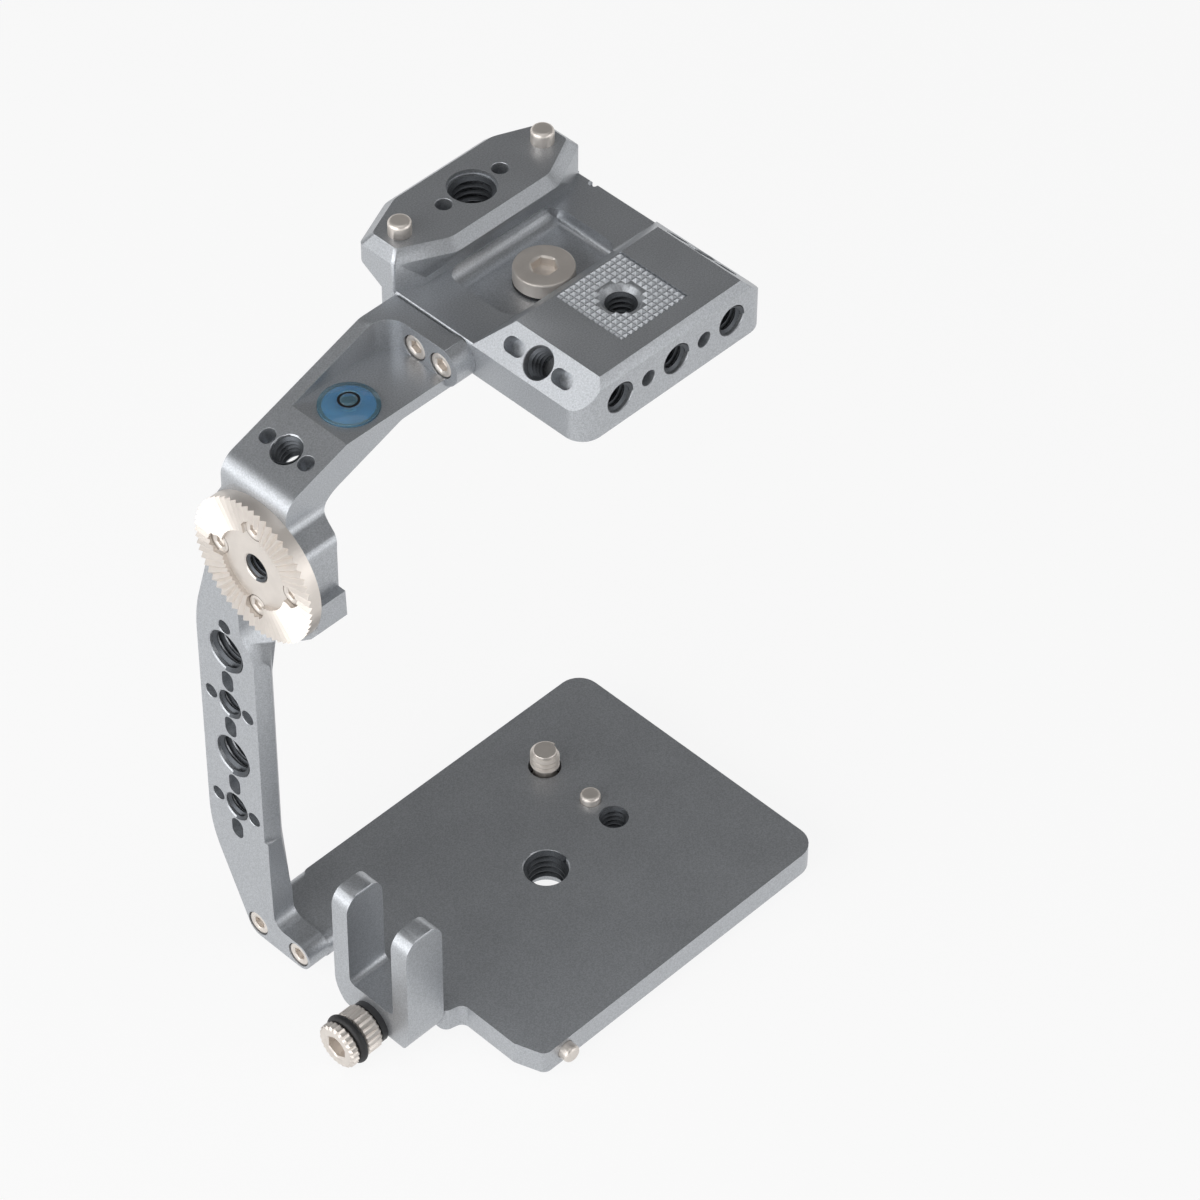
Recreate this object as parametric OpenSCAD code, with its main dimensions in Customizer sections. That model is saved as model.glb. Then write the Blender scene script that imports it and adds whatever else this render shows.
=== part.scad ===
// Half cage for a small cinema camera: a slim base plate, a side plate on the
// left, an arm with a toothed rosette, a top plate with a riser, and a cable
// clamp with its thumb screw. Millimetres. X runs to the right, Y runs forward
// and Z runs up. The origin is the tripod socket on the pad's underside.

/* [Frame] */
// Length of the top plate along X
plate_l = 49.8; // [48.6:0.2:62]
// From the top plate's side out to the leg's outer face
arm_reach = 46; // [43:0.5:60]
// Clear height between the base plate and the top plate
bay_h = 132.5; // [124:0.5:150]
// Distance from the platform's centre forward to the rosette's axis
rosette_y = 24.1; // [23:0.1:26]
// Rosette axis below the top plate's underside
rosette_drop = 24.6; // [24:0.1:30]

/* [Top plate] */
// Thickness of the top plate's slab
slab_t = 7.2; // [6.8:0.1:9]
// Height of the raised platform above the slab
deck_h = 6; // [5.6:0.1:6.4]
// From the platform's centre back to the rear face
deck_rear = 14.6; // [14.2:0.1:18]
// From the platform's centre forward to the top of the ramp
deck_front = 8.7; // [8.6:0.1:9]
// Radius of the rear corners, seen from above
deck_corner_r = 4.5; // [2:0.1:6]
// Side of the knurled square
knurl_side = 17.8; // [16:0.1:18]
// Depth of the recess that carries the knurling
knurl_depth = 0.6; // [0.3:0.1:0.9]
// Distance between the outer rear holes
rear_span = 30; // [28:0.5:32]
// Depth of the threaded holes in the rear face and the side facets
blind_depth = 7; // [5:0.5:7]
// Length of the anti-twist slots
slot_l = 5.2; // [4:0.1:5.4]
// Width of the anti-twist slots
slot_w = 3.3; // [2.5:0.1:3.5]

/* [Pocket and riser] */
// Length of the pocket along X
pocket_l = 29.2; // [27:0.2:31]
// Depth of the pocket's floor below the slab's top
pocket_depth = 3.1; // [2:0.1:4]
// Top screw's distance forward of the platform's centre
screw_y = 20.4; // [20:0.1:22]
// Riser's centre forward of the platform's centre
riser_y = 39.9; // [39.4:0.1:42]
// Width of the riser across its middle
riser_w = 19.8; // [19:0.1:22]
// Width of the riser's ends
riser_end_w = 9.2; // [7:0.1:11]
// Height of the riser's top above the slab
riser_h = 8.7; // [8:0.1:11]
// Chamfer round the riser's top
riser_chamfer = 2.1; // [1:0.1:2.2]
// Distance between the two locating pins
pin_span = 38.1; // [36:0.1:40]
// Diameter of the locating pins
pin_d = 4.7; // [4:0.1:4.8]
// How far the locating pins stand out
pin_out = 3.2; // [2:0.1:4]

/* [Arm] */
// Width of the arm in front of the rosette's axis
arm_front = 10.9; // [10:0.1:12]
// Width of the arm behind the rosette's axis
arm_back = 7; // [6.6:0.1:8]
// Thickness of the sloping pad, square to its face
arm_t = 7.4; // [6.6:0.1:8]
// Thickness of the leg
leg_t = 7.5; // [7:0.1:8.4]
// Thickness of the arm's floor under the pocket
arm_floor_t = 2.9; // [2.7:0.1:4]
// Thickness of the wall along the arm's front
arm_wall_t = 2.9; // [2:0.1:4]
// Thickness of the end wall that bolts to the top plate
end_wall_t = 4.8; // [4.4:0.1:6]
// Slope of the pad in degrees
pad_angle = 19.5; // [18:0.5:21]
// Pad hole's distance in from the leg's outer face
pad_in = 8.9; // [8.4:0.1:9.4]
// Half width of the leg below the arm
leg_half = 12.5; // [12:0.1:13.5]

/* [Level] */
// Diameter of the level vial
vial_d = 12; // [10:0.1:12.4]
// Height of the level vial
vial_h = 2.6; // [2.2:0.1:2.7]
// How far the vial stands out of the arm's floor
vial_out = 0.5; // [0.3:0.1:0.8]
// Diameter of the black ring on the vial
ring_d = 4.5; // [4:0.1:5.5]

/* [Rosette] */
// Outer diameter of the rosette
rosette_d = 31.8; // [31:0.1:34]
// Diameter of the flat hub inside the teeth
hub_d = 17.5; // [16.5:0.1:18.5]
// Thickness of the rosette at its hub
hub_t = 2; // [1.8:0.1:3]
// Height of the tooth crests above the hub
crest_h = 1.1; // [1:0.05:1.5]
// Number of teeth
teeth = 60; // [48:12:60]
// Depth of the teeth at the rim
tooth_depth = 0.78; // [0.5:0.01:0.8]
// Distance of the rosette screws from its axis
rosette_screw_r = 9.9; // [9.6:0.1:10.2]

/* [Side plate] */
// Thickness of the side plate
side_t = 5.4; // [5:0.1:6.8]
// Hole line's distance forward of the rosette's axis
line_y = 13; // [12.5:0.1:13.5]
// Width of the side plate along its straight middle
side_w = 17.5; // [17:0.1:19]
// Distance between neighbouring large holes
hole_pitch = 14.9; // [14.6:0.1:15.5]
// Top hole's distance below the rosette's axis
hole_drop = 33.5; // [33:0.1:36]
// Distance between the two foot screws
foot_pitch = 12; // [11:0.1:12.6]
// Radius of the shelf's curved underside
shelf_r = 17; // [16.8:0.1:18]
// Height from the shelf's top to the rosette's axis
shelf_drop = 2.6; // [2.5:0.1:3]

/* [Base plate] */
// Thickness of the base plate
base_t = 5.9; // [5.7:0.1:6.7]
// How far the tripod pad stands below the base plate
pad_drop = 3.5; // [3.3:0.1:6]
// Length of the tripod pad along X
pad_l = 60; // [50:1:64]
// Width of the tripod pad along Y
pad_w = 52; // [50:1:56]
// Base plate's left edge, in from the leg's outer face
base_inset = 13.2; // [12:0.1:15]
// Base plate's front edge, forward of the platform's centre
base_front = 34.9; // [34:0.1:35.2]
// Base plate's rear edge, behind the platform's centre
base_rear = 35.2; // [34:0.1:40]

/* [Cable clamp] */
// Width of the gap between the prongs
clamp_gap = 12.6; // [9:0.1:13]
// Thickness of each prong
prong_t = 4.4; // [4:0.1:5]
// Depth of the clamp along X
clamp_depth = 9.8; // [9.2:0.1:10.2]
// Height of the clamp
clamp_h = 34.2; // [30:0.1:40]
// Height of the clamp's solid foot below the gap
clamp_floor = 9.5; // [9.2:0.1:13]
// Clamp's centre line behind the rosette's axis
clamp_back = 26.4; // [26:0.1:28]
// How far the clamp's outer face stands out past the side plate
clamp_out = 1; // [0.5:0.1:2]

/* [Thumb screw] */
// Diameter of the knurled head
knob_d = 10.2; // [9.4:0.1:11]
// Length of the knurled head
knob_l = 8.6; // [8:0.1:11]
// Number of knurls round the head
knurls = 24; // [18:1:36]
// Outer diameter of the rubber ring
o_ring_d = 11.3; // [11.1:0.1:12]
// Thickness of the rubber ring
o_ring_t = 1.9; // [1.4:0.1:2.2]
// Thread diameter of the thumb screw
knob_thread_d = 4; // [3:0.5:4]
// Thickness of the washer behind the head
washer_t = 1.4; // [0.8:0.1:2]
// Diameter of the washer behind the head
washer_d = 9.4; // [8:0.1:10]

/* [Threads and fasteners] */
// Major diameter of the quarter-inch thread
quarter_d = 6.35; // [6.3:0.05:6.4]
// Major diameter of the three-eighths thread
three_d = 9.525; // [9.5:0.005:9.55]
// Diameter of the small locating holes
locate_d = 3.3; // [3:0.1:3.5]
// Distance from a thread's centre to its locating holes
locate_off = 5.25; // [5.2:0.05:5.5]
// Diameter of the rosette's centre thread
centre_d = 6; // [5:0.5:6]
// Diameter of the captive screws' heads
captive_head_d = 12.3; // [11:0.1:12.6]
// Height of the top screw's head
top_head_h = 3.4; // [2.8:0.1:4]
// Thickness of the washers under the captive screws
thin_washer_t = 0.5; // [0.4:0.05:0.7]
// How far a captive screw stands into the camera
captive_reach = 5; // [4:0.1:6]
// Thread diameter of the joining screws
join_d = 3; // [2.5:0.1:3]
// Head diameter of the joining screws
join_head_d = 5.4; // [5:0.1:5.5]
// Head height of the joining screws
join_head_h = 2.4; // [2:0.1:2.5]
// Thread diameter of the small screws in the rosette and shelf
small_d = 2.5; // [2:0.1:2.6]
// Head diameter of the small screws
small_head_d = 4.5; // [4:0.1:4.6]
// Head height of the small screws
small_head_h = 1.3; // [1:0.1:1.4]
// Chamfer at the mouth of each hole
rim = 0.25; // [0.15:0.05:0.4]
// Clearance round each shank in its hole
fit_gap = 0.05; // [0.03:0.01:0.08]
// Clearance round each head in its recess
head_gap = 0.15; // [0.1:0.05:0.2]

/* [Hidden] */

$fn = 64;
// Every cut runs past its face by this much
over = 1;
// Thickness of the slices that a hull joins
slice = 0.01;
arc_steps = 8;
full_turn = 360;
half_turn = 180;
anodised = "#6c6f72";
steel = "#c4bdb6";
black = "#1c1c1e";
blue = "#2b7fc0";

// Heights
base_z0 = pad_drop;
base_z1 = base_z0 + base_t;
slab_z0 = base_z1 + bay_h;
slab_z1 = slab_z0 + slab_t;
deck_z = slab_z1 + deck_h;
riser_z = slab_z1 + riser_h;
rosette_z = slab_z0 - rosette_drop;

// Places along X
plate_x = plate_l / 2;
leg_x = -plate_x - arm_reach;
leg_in_x = leg_x + leg_t;
side_in_x = leg_x + side_t;
end_wall_x = -plate_x - end_wall_t;

// Places along Y
arm_y0 = rosette_y - arm_back;
arm_y1 = rosette_y + arm_front;
arm_mid_y = (arm_y0 + arm_y1) / 2;

// Holes
locate_depth = 4;
wide_rim = 1.3;
slack = 0.35;
through_d = quarter_d + 2 * slack;
screw_play = 0.07;
captive_neck_d = 5;
join_hole_d = join_d + 2 * fit_gap;
join_seat_d = join_head_d + 2 * head_gap;
join_seat_t = join_head_h + head_gap;
small_hole_d = small_d + 2 * fit_gap;
small_seat_d = small_head_d + 2 * head_gap;

// Top plate
edge_cut = 0.5;
deck_edge = 1.6;
rear_hole_rise = 6.5;
rear_hole_z = slab_z0 + rear_hole_rise;
facet_x = plate_x - deck_h / 2;
facet_z = slab_z1 + deck_h / 2;
facet_tilt = 45;
slot_off = 6.25;
slot_depth = 3.3;
notch_r = 1;
notch_y = 31.2;
notch_in = 0.6;
notch_depth = 1.5;

// Pocket
pocket_z = slab_z1 - pocket_depth;
pocket_x = pocket_l / 2;
ramp_y = deck_front + deck_h;
pocket_bite = 0.7;
pocket_y0 = ramp_y - pocket_bite;
pocket_corner_r = 4;
pocket_soft = 1.8;
channel_r = 4.2;

// Riser
lip_t = 0.5;
lip_z = riser_z - riser_chamfer - lip_t;
riser_mid_x = 13.5;
riser_soft = 5;
riser_end_soft = 1.2;
riser_end_shift = 0.4;
under_dip = 0.8;
back_wall_in = 6.9;
back_wall_y = riser_y - back_wall_in;
riser_end_y = riser_y - riser_end_w / 2 + riser_end_shift;
back_wall_h = 1.7;
back_wall_soft = 1;
front_end_in = 0.8;
front_mid_out = 5.4;
front_soft = 3;
front_end_y = riser_y - front_end_in;
front_mid_y = riser_y + front_mid_out;
counter_d = three_d + 2 * rim;
counter_depth = 1;
riser_locate_x = 7.5;
pin_depth = 6;
pin_stem_d = 4;
pin_round = 0.9;

// Arm
pad_down = 2.5;
pad_x = leg_x + pad_in;
pad_z = slab_z0 - pad_down;
pad_slope = tan(pad_angle);
arm_under_z = slab_z0 - arm_floor_t;
bend_out_r = 5;
bend_in_r = 9;
arm_soft = 4;
pad_floor_x = pad_x + pad_down / pad_slope;
pad_top_x = pad_x + (slab_z1 - pad_z) / pad_slope;
under_drop = arm_t / cos(pad_angle);
under_x = pad_x + (arm_under_z - pad_z + under_drop) / pad_slope;
arm_wall_y = arm_y1 - arm_wall_t;
arm_pocket_r = 4.5;
pad_bore_more = 4;
end_screw_drop = 4.5;
end_screw_z = slab_z1 - end_screw_drop;
end_pitch = 7;
lug_out = 1.1;
end_screw_y = arm_y0 + lug_out;
end_thread = 6;
leg_shoulder = 9.8;
leg_neck = 12.6;
leg_top = 17;
leg_soft = 2.6;
leg_thread = 6;
shelf_z = rosette_z - shelf_drop;

// Level
vial_in = 14.6;
vial_x = pad_x + vial_in;
vial_y = (arm_y0 + arm_wall_y) / 2;
vial_z0 = slab_z0 + vial_out - vial_h;
vial_wall = 1;
vial_roof = 0.8;
dome_h = 1.2;
dome_r = (pow(vial_d / 2, 2) + pow(dome_h, 2)) / (2 * dome_h);
ring_w = 0.6;
ring_t = 0.2;
ring_sink = 0.17;

// Rosette
crest_t = hub_t + crest_h;
tooth_tilt = atan(tooth_depth / (rosette_d / 2));
groove_from = hub_d / 2 - rim;
groove_h = tooth_depth + fit_gap;
screw_seat_t = 0.8;
rosette_thread = 3.4;

// Side plate
line_shift = -0.45;
line_row = rosette_y + line_y;
side_y0 = line_row - side_w / 2 + line_shift;
side_y1 = side_y0 + side_w;
hole_top_z = rosette_z - hole_drop;
side_slot_off = 6.5;
small_off = 6.7;
shelf_back = 14.3;
shelf_front = 14.5;
shelf_from_angle = -80;
shelf_to_angle = -149;
shelf_arc_steps = 6;
neck_in = 4.7;
neck_y = side_y0 + neck_in;
neck_soft = 2.5;
shoulder_r = 40;
shoulder_drop = 27.3;
front_hip_r = 30;
front_hip = 24.4;
rear_hip_r = 12;
rear_hip = 23.5;
waist_r = 6;
waist_low = 32.8;
waist_high = 25.8;
foot_h = 6.8;
foot_r = 3.3;
foot_z = base_z0 + foot_h / 2;
foot_mid_in = 10.5;
foot_mid_y = line_row - foot_mid_in;
heel_y = foot_mid_y - foot_pitch / 2 - foot_h / 2 - fit_gap;
toe_y = foot_mid_y + foot_pitch / 2 + foot_h / 4;
ankle_out = 0.8;
ankle_y = foot_mid_y + ankle_out;
ankle_r = 3;
foot_thread = 8;
shelf_screw_off = 5.2;
shelf_head_drop = 9.5;
shelf_thread = 7;
shelf_screw_x = leg_x + leg_t / 2;
thin_top = 25.3;
thin_end = 37.3;
thin_r = 6;
edge_top_z = rosette_z - waist_high;
edge_low = 31;
edge_in = 1.1;
edge_out = 3.4;
inner_edge = 1.9;
inner_low = 14;
spot_wall = 1.5;

// Base plate
base_x0 = leg_x + base_inset;
boss_y0 = heel_y;
boss_y1 = foot_mid_y + foot_pitch / 2 + foot_h / 2;
boss_soft = 1.5;
foot_boss_r = 2.8;
base_soft = 2;
base_corner_r = 5;
rear_cut_x = 2.4;
rear_cut_y = 6.7;
pad_shift_x = -12;
pad_shift_y = 1;
pad_corner_r = 6;
socket_side = 20;
camera_y = screw_y;
camera_head_h = 2.2;
camera_seat = 5.6;
pin_y = 13.5;
twist_pin_d = 4.4;
twist_pin_out = 2;
twist_pin_l = 6;
stop_pin_d = 4;
stop_pin_out = 2.4;
stop_pin_l = 7.4;
stop_pin_in = 8;

// Cable clamp
clamp_x0 = leg_x - clamp_out;
clamp_x1 = clamp_x0 + clamp_depth;
clamp_y = rosette_y - clamp_back;
clamp_y0 = clamp_y - clamp_gap / 2 - prong_t;
clamp_y1 = clamp_y + clamp_gap / 2 + prong_t;
clamp_z1 = base_z0 + clamp_h;
clamp_rear_r = 5.8;
clamp_front_r = 8.5;
prong_top_r = 4.5;
prong_soft = 0.8;
clamp_foot_r = 2.6;
gap_soft = 1.5;
seat_gap = 0.1;
clamp_seat_x = clamp_x1 + seat_gap;
clamp_boss_in = 1;

// Thumb screw
knob_z = base_z0 + base_t / 2;
washer_x = clamp_x0 - washer_t;
knob_x1 = washer_x - seat_gap;
knob_x0 = knob_x1 - knob_l;
knurl_out = 0.45;
groove_w = o_ring_t + 2 * fit_gap;
o_ring_in = 3.3;
o_ring_x = knob_x0 + o_ring_in;
o_ring_mid_r = (o_ring_d - o_ring_t) / 2;
groove_d = o_ring_d - 2 * o_ring_t - 2 * fit_gap;
knob_edge = 0.5;
knob_hex = 4.6;
knob_hex_depth = 2.6;
knob_reach = 8;
knob_hole_d = knob_thread_d + 2 * slack;

// Hex sockets, as shares of the head they are cut into
top_hex = 4.7;
hex_share = 0.5;
hex_depth_share = 0.6;
hex_sides = 6;
head_edge = 0.4;

function unit(v) = v / norm(v);

function arc_points(centre, r, from, turn, steps) = [
    for (i = [0:steps])
        centre + r * [cos(from + turn * i / steps), sin(from + turn * i / steps)]
];

// Shortest turn from one angle to another
function turn_to(from, to) = (to - from + full_turn + half_turn) % full_turn - half_turn;

// Points that round the corner p, between its neighbours a and b, to radius r
function corner(p, a, b, r) =
    let (u = unit(a - p))
    let (v = unit(b - p))
    let (half = acos(u * v) / 2)
    let (centre = p + unit(u + v) * r / sin(half))
    let (start = p + u * r / tan(half) - centre)
    let (end = p + v * r / tan(half) - centre)
    let (from = atan2(start.y, start.x))
    let (to = atan2(end.y, end.x))
    arc_points(centre, r, from, turn_to(from, to), arc_steps);

function flat(p) = [p.x, p.y];

// Outline through points given as [across, up, corner radius]
function rounded(points) = [
    for (i = [0:len(points) - 1])
        let (before = points[(i + len(points) - 1) % len(points)])
        let (after = points[(i + 1) % len(points)])
        each points[i].z == 0
            ? [flat(points[i])]
            : corner(flat(points[i]), flat(before), flat(after), points[i].z)
];

// Extrude an outline given in (Y, Z) along X
module along_x(x0, x1) {
    translate([x0, 0, 0])
        rotate([90, 0, 90])
            linear_extrude(x1 - x0) children();
}

// Extrude an outline given in (X, Z) along Y
module along_y(y0, y1) {
    translate([0, y1, 0])
        rotate([90, 0, 0])
            linear_extrude(y1 - y0) children();
}

// Extrude an outline given in (X, Y) along Z
module along_z(z0, z1) {
    translate([0, 0, z0])
        linear_extrude(z1 - z0) children();
}

// Hole with a chamfered mouth at the origin, bored down from it
module bored(d, depth, mouth = rim) {
    translate([0, 0, -depth])
        cylinder(d = d, h = depth + over);
    translate([0, 0, -mouth])
        cylinder(d1 = d, d2 = d + 2 * (mouth + over), h = mouth + over);
}

// Hole right through a wall, with a chamfer at both mouths
module bored_through(d, wall, mouth = rim) {
    bored(d, wall + over, mouth);
    translate([0, 0, -wall])
        mirror([0, 0, 1])
            bored(d, over, mouth);
}

// Slot with round ends, sunk from the origin, long along X
module slot(l, w, depth) {
    for (side = [-1, 1])
        translate([side * (l - w) / 2, 0, -depth])
            cylinder(d = w, h = depth + over);
    translate([-(l - w) / 2, -w / 2, -depth])
        cube([l - w, w, depth + over]);
}

// Screw with its head above the origin and its shank below it
module socket_screw(head_d, head_h, shank_d, shank_l, hex_d, hex_depth) {
    difference() {
        union() {
            cylinder(d = head_d, h = head_h - head_edge);
            translate([0, 0, head_h - head_edge])
                cylinder(d1 = head_d, d2 = head_d - 2 * head_edge, h = head_edge);
            translate([0, 0, -shank_l])
                cylinder(d = shank_d, h = shank_l + head_h / 2);
        }
        translate([0, 0, head_h - hex_depth])
            cylinder(d = hex_d, h = hex_depth + over, $fn = hex_sides);
    }
}

// Screw whose neck is thinner than its thread, so that it can't drop out
module captive_screw(head_h, thread_d, shank_l) {
    socket_screw(captive_head_d, head_h, captive_neck_d, shank_l,
        top_hex, head_h * hex_depth_share);
    translate([0, 0, -shank_l])
        cylinder(d = thread_d, h = captive_reach - 2 * head_gap);
}

module join_screw(shank_l) {
    socket_screw(join_head_d, join_head_h, join_d, shank_l,
        join_head_d * hex_share, join_head_h * hex_depth_share);
}

module small_screw(shank_l) {
    socket_screw(small_head_d, small_head_h, small_d, shank_l,
        small_head_d * hex_share, small_head_h * hex_depth_share);
}

// Turn a shape so that its own +Z points to -X, -Y or down
module facing_left() { rotate([0, -90, 0]) children(); }
module facing_right() { rotate([0, 90, 0]) children(); }
module facing_back() { rotate([90, 0, 0]) children(); }
module facing_down() { mirror([0, 0, 1]) children(); }

// Platform and slab: the section across the plate and the section along it
module plate_body() {
    intersection() {
        along_y(-deck_rear, front_mid_y)
            polygon([
                [-plate_x, slab_z0], [plate_x, slab_z0], [plate_x, slab_z1],
                [plate_x - deck_h, deck_z], [-plate_x + deck_h, deck_z], [-plate_x, slab_z1]
            ]);
        along_x(-plate_x, plate_x)
            polygon([
                [-deck_rear, slab_z0], [-deck_rear, deck_z - deck_edge],
                [-deck_rear + deck_edge, deck_z], [deck_front, deck_z],
                [ramp_y, slab_z1], [front_mid_y, slab_z1], [front_mid_y, slab_z0]
            ]);
        along_z(slab_z0, deck_z)
            polygon(plate_outline(-deck_rear, deck_corner_r));
    }
}

// The plate seen from above, from its rear edge to its tapered front
function plate_outline(rear, rear_r) = rounded([
    [-plate_x, rear, rear_r], [plate_x, rear, rear_r], [plate_x, front_end_y, 0],
    [riser_mid_x, front_mid_y, front_soft], [-riser_mid_x, front_mid_y, front_soft],
    [-plate_x, front_end_y, 0]
]);

// The riser's table seen from above, drawn in by an inset
function riser_outline(inset) =
    let (taper = atan((riser_w - riser_end_w) / 2 / (plate_x - riser_mid_x)))
    let (end_in = inset / cos(taper) - inset * tan(taper))
    let (end_back = riser_end_w / 2 - riser_end_shift - end_in)
    let (end_front = riser_end_w / 2 + riser_end_shift - end_in)
    let (mid_half = riser_w / 2 - inset)
    let (mid_x = riser_mid_x - inset * tan(taper / 2))
    let (end_x = plate_x - inset)
    rounded([
        [-end_x, riser_y - end_back, riser_end_soft], [-mid_x, riser_y - mid_half, riser_soft],
        [mid_x, riser_y - mid_half, riser_soft], [end_x, riser_y - end_back, riser_end_soft],
        [end_x, riser_y + end_front, riser_end_soft], [mid_x, riser_y + mid_half, riser_soft],
        [-mid_x, riser_y + mid_half, riser_soft], [-end_x, riser_y + end_front, riser_end_soft]
    ]);

// Riser, chamfered round its top and undercut along both of its long sides
module riser() {
    y_back = riser_y - riser_w / 2;
    y_front = riser_y + riser_w / 2;
    intersection() {
        union() {
            hull() {
                along_z(riser_z - riser_chamfer, riser_z - riser_chamfer + slice)
                    polygon(riser_outline(0));
                along_z(riser_z - slice, riser_z)
                    polygon(riser_outline(riser_chamfer));
            }
            along_z(slab_z1 - under_dip, riser_z - riser_chamfer)
                polygon(riser_outline(0));
        }
        along_x(-plate_x, plate_x)
            polygon(rounded([
                [y_back, riser_z, 0], [y_back, lip_z, 0],
                [back_wall_y, slab_z1 + back_wall_h, back_wall_soft],
                [back_wall_y, slab_z1 - under_dip, 0],
                [front_end_y, slab_z1 - under_dip, 0], [y_front, lip_z - under_dip, 0],
                [y_front, riser_z, 0]
            ]));
    }
}

module pocket() {
    intersection() {
        along_x(-pocket_x, pocket_x)
            polygon(rounded([
                [pocket_y0, deck_z, 0], [pocket_y0, pocket_z, pocket_soft],
                [back_wall_y, pocket_z, channel_r], [back_wall_y, lip_z, 0],
                [pocket_y0 + channel_r, lip_z, 0], [pocket_y0 + channel_r, deck_z, 0]
            ]));
        along_y(pocket_y0, back_wall_y)
            polygon(rounded([
                [-pocket_x, slab_z1 + over, 0], [-pocket_x, pocket_z, pocket_soft],
                [pocket_x, pocket_z, pocket_soft], [pocket_x, slab_z1 + over, 0]
            ]));
        along_z(pocket_z, slab_z1 + over)
            polygon(rounded([
                [-pocket_x, pocket_y0, pocket_corner_r], [pocket_x, pocket_y0, pocket_corner_r],
                [pocket_x, back_wall_y, pocket_corner_r], [-pocket_x, back_wall_y, pocket_corner_r]
            ]));
    }
}

module platform_holes() {
    translate([0, 0, deck_z - knurl_depth])
        bored_through(quarter_d, deck_z - knurl_depth - slab_z0, rim);
    translate([0, 0, deck_z - knurl_depth - wide_rim])
        cylinder(d1 = quarter_d, d2 = quarter_d + 2 * (wide_rim + over), h = wide_rim + over);
    translate([-knurl_side / 2, -knurl_side / 2, deck_z - knurl_depth])
        cube([knurl_side, knurl_side / 2 + ramp_y, knurl_depth + over]);
    for (x = [-rear_span / 2, 0, rear_span / 2])
        translate([x, -deck_rear, rear_hole_z])
            facing_back()
                bored(quarter_d, blind_depth);
    for (x = [-rear_span / 4, rear_span / 4])
        translate([x, -deck_rear, rear_hole_z])
            facing_back()
                bored(locate_d, locate_depth, rim / 2);
    for (side = [-1, 1])
        translate([side * facet_x, 0, facet_z])
            rotate([0, side * facet_tilt, 0]) {
                bored(quarter_d, blind_depth);
                for (y = [-slot_off, slot_off])
                    translate([0, y, 0])
                        rotate([0, 0, 90])
                            slot(slot_l, slot_w, slot_depth);
            }
}

module riser_holes() {
    translate([0, riser_y, riser_z]) {
        bored_through(three_d, riser_z - slab_z0, rim);
        translate([0, 0, -counter_depth])
            cylinder(d = counter_d, h = counter_depth + over);
        for (x = [-riser_locate_x, riser_locate_x])
            translate([x, 0, 0])
                bored(locate_d, locate_depth, rim / 2);
        for (x = [-pin_span / 2, pin_span / 2])
            translate([x, 0, 0])
                bored(pin_stem_d + 2 * fit_gap, pin_depth, fit_gap);
    }
}

module top_plate() {
    color(anodised)
        difference() {
            union() {
                plate_body();
                riser();
            }
            pocket();
            platform_holes();
            riser_holes();
            translate([0, screw_y, pocket_z]) {
                cylinder(d = captive_head_d + 4 * head_gap, h = deck_h + pocket_depth);
                translate([0, 0, -pocket_depth - slab_t])
                    cylinder(d = through_d, h = 2 * slab_t);
            }
            for (y = [end_screw_y, end_screw_y + end_pitch])
                translate([-plate_x, y, end_screw_z])
                    facing_left()
                        bored(join_hole_d, end_thread, fit_gap);
            translate([plate_x - notch_in, notch_y, slab_z1 - notch_depth])
                cylinder(r = notch_r, h = notch_depth + over);
            for (side = [-1, 1])
                along_y(ramp_y, riser_end_y)
                    polygon([
                        [side * (plate_x - edge_cut), slab_z1], [side * plate_x, slab_z1 - edge_cut],
                        [side * (plate_x + edge_cut), slab_z1]
                    ]);
        }
}

// Dowel with a rounded tip, as an outline turned about its axis
module locating_pins() {
    color(steel)
        for (x = [-pin_span / 2, pin_span / 2])
            translate([x, riser_y, riser_z - pin_depth])
                rotate_extrude()
                    polygon(rounded([
                        [0, 0, 0], [pin_stem_d / 2, 0, 0],
                        [pin_stem_d / 2, pin_depth, 0], [pin_d / 2, pin_depth, 0],
                        [pin_d / 2, pin_depth + pin_out, pin_round], [0, pin_depth + pin_out, 0]
                    ]));
}

module thin_washer() {
    difference() {
        cylinder(d = captive_head_d, h = thin_washer_t);
        translate([0, 0, -over])
            cylinder(d = through_d, h = thin_washer_t + 2 * over);
    }
}

module top_screw_washer() {
    color(black)
        translate([0, screw_y, pocket_z])
            thin_washer();
}

module top_screw() {
    reach = pocket_z - slab_z0 + captive_reach + thin_washer_t;
    color(steel)
        translate([0, screw_y, pocket_z + thin_washer_t + fit_gap])
            captive_screw(top_head_h, quarter_d - 2 * screw_play, reach);
}

// Arm seen from the rear: leg, bend, sloping pad and level end
module arm_section() {
    polygon(rounded([
        [leg_x, shelf_z, 0], [leg_x, pad_z - pad_in * pad_slope, bend_out_r],
        [pad_top_x, slab_z1, arm_soft], [-plate_x - edge_cut, slab_z1, 0],
        [-plate_x, slab_z1 - edge_cut, 0], [-plate_x, arm_under_z, 0],
        [under_x, arm_under_z, arm_soft],
        [leg_in_x, pad_z + (leg_in_x - pad_x) * pad_slope - under_drop, bend_in_r],
        [leg_in_x, shelf_z, 0]
    ]));
}

// Leg seen from the side, swelling to carry the rosette
module leg_section() {
    polygon(rounded([
        [rosette_y - leg_half, shelf_z, 0], [rosette_y + leg_half, shelf_z, 0],
        [rosette_y + leg_half, rosette_z + leg_shoulder, leg_soft / 2],
        [arm_y1, rosette_z + leg_neck, leg_soft / 2], [arm_y1, rosette_z + leg_top, 0],
        [arm_y0, rosette_z + leg_top, 0], [arm_y0, rosette_z + leg_neck, leg_soft],
        [rosette_y - leg_half, rosette_z + leg_shoulder, leg_soft]
    ]));
}

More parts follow.
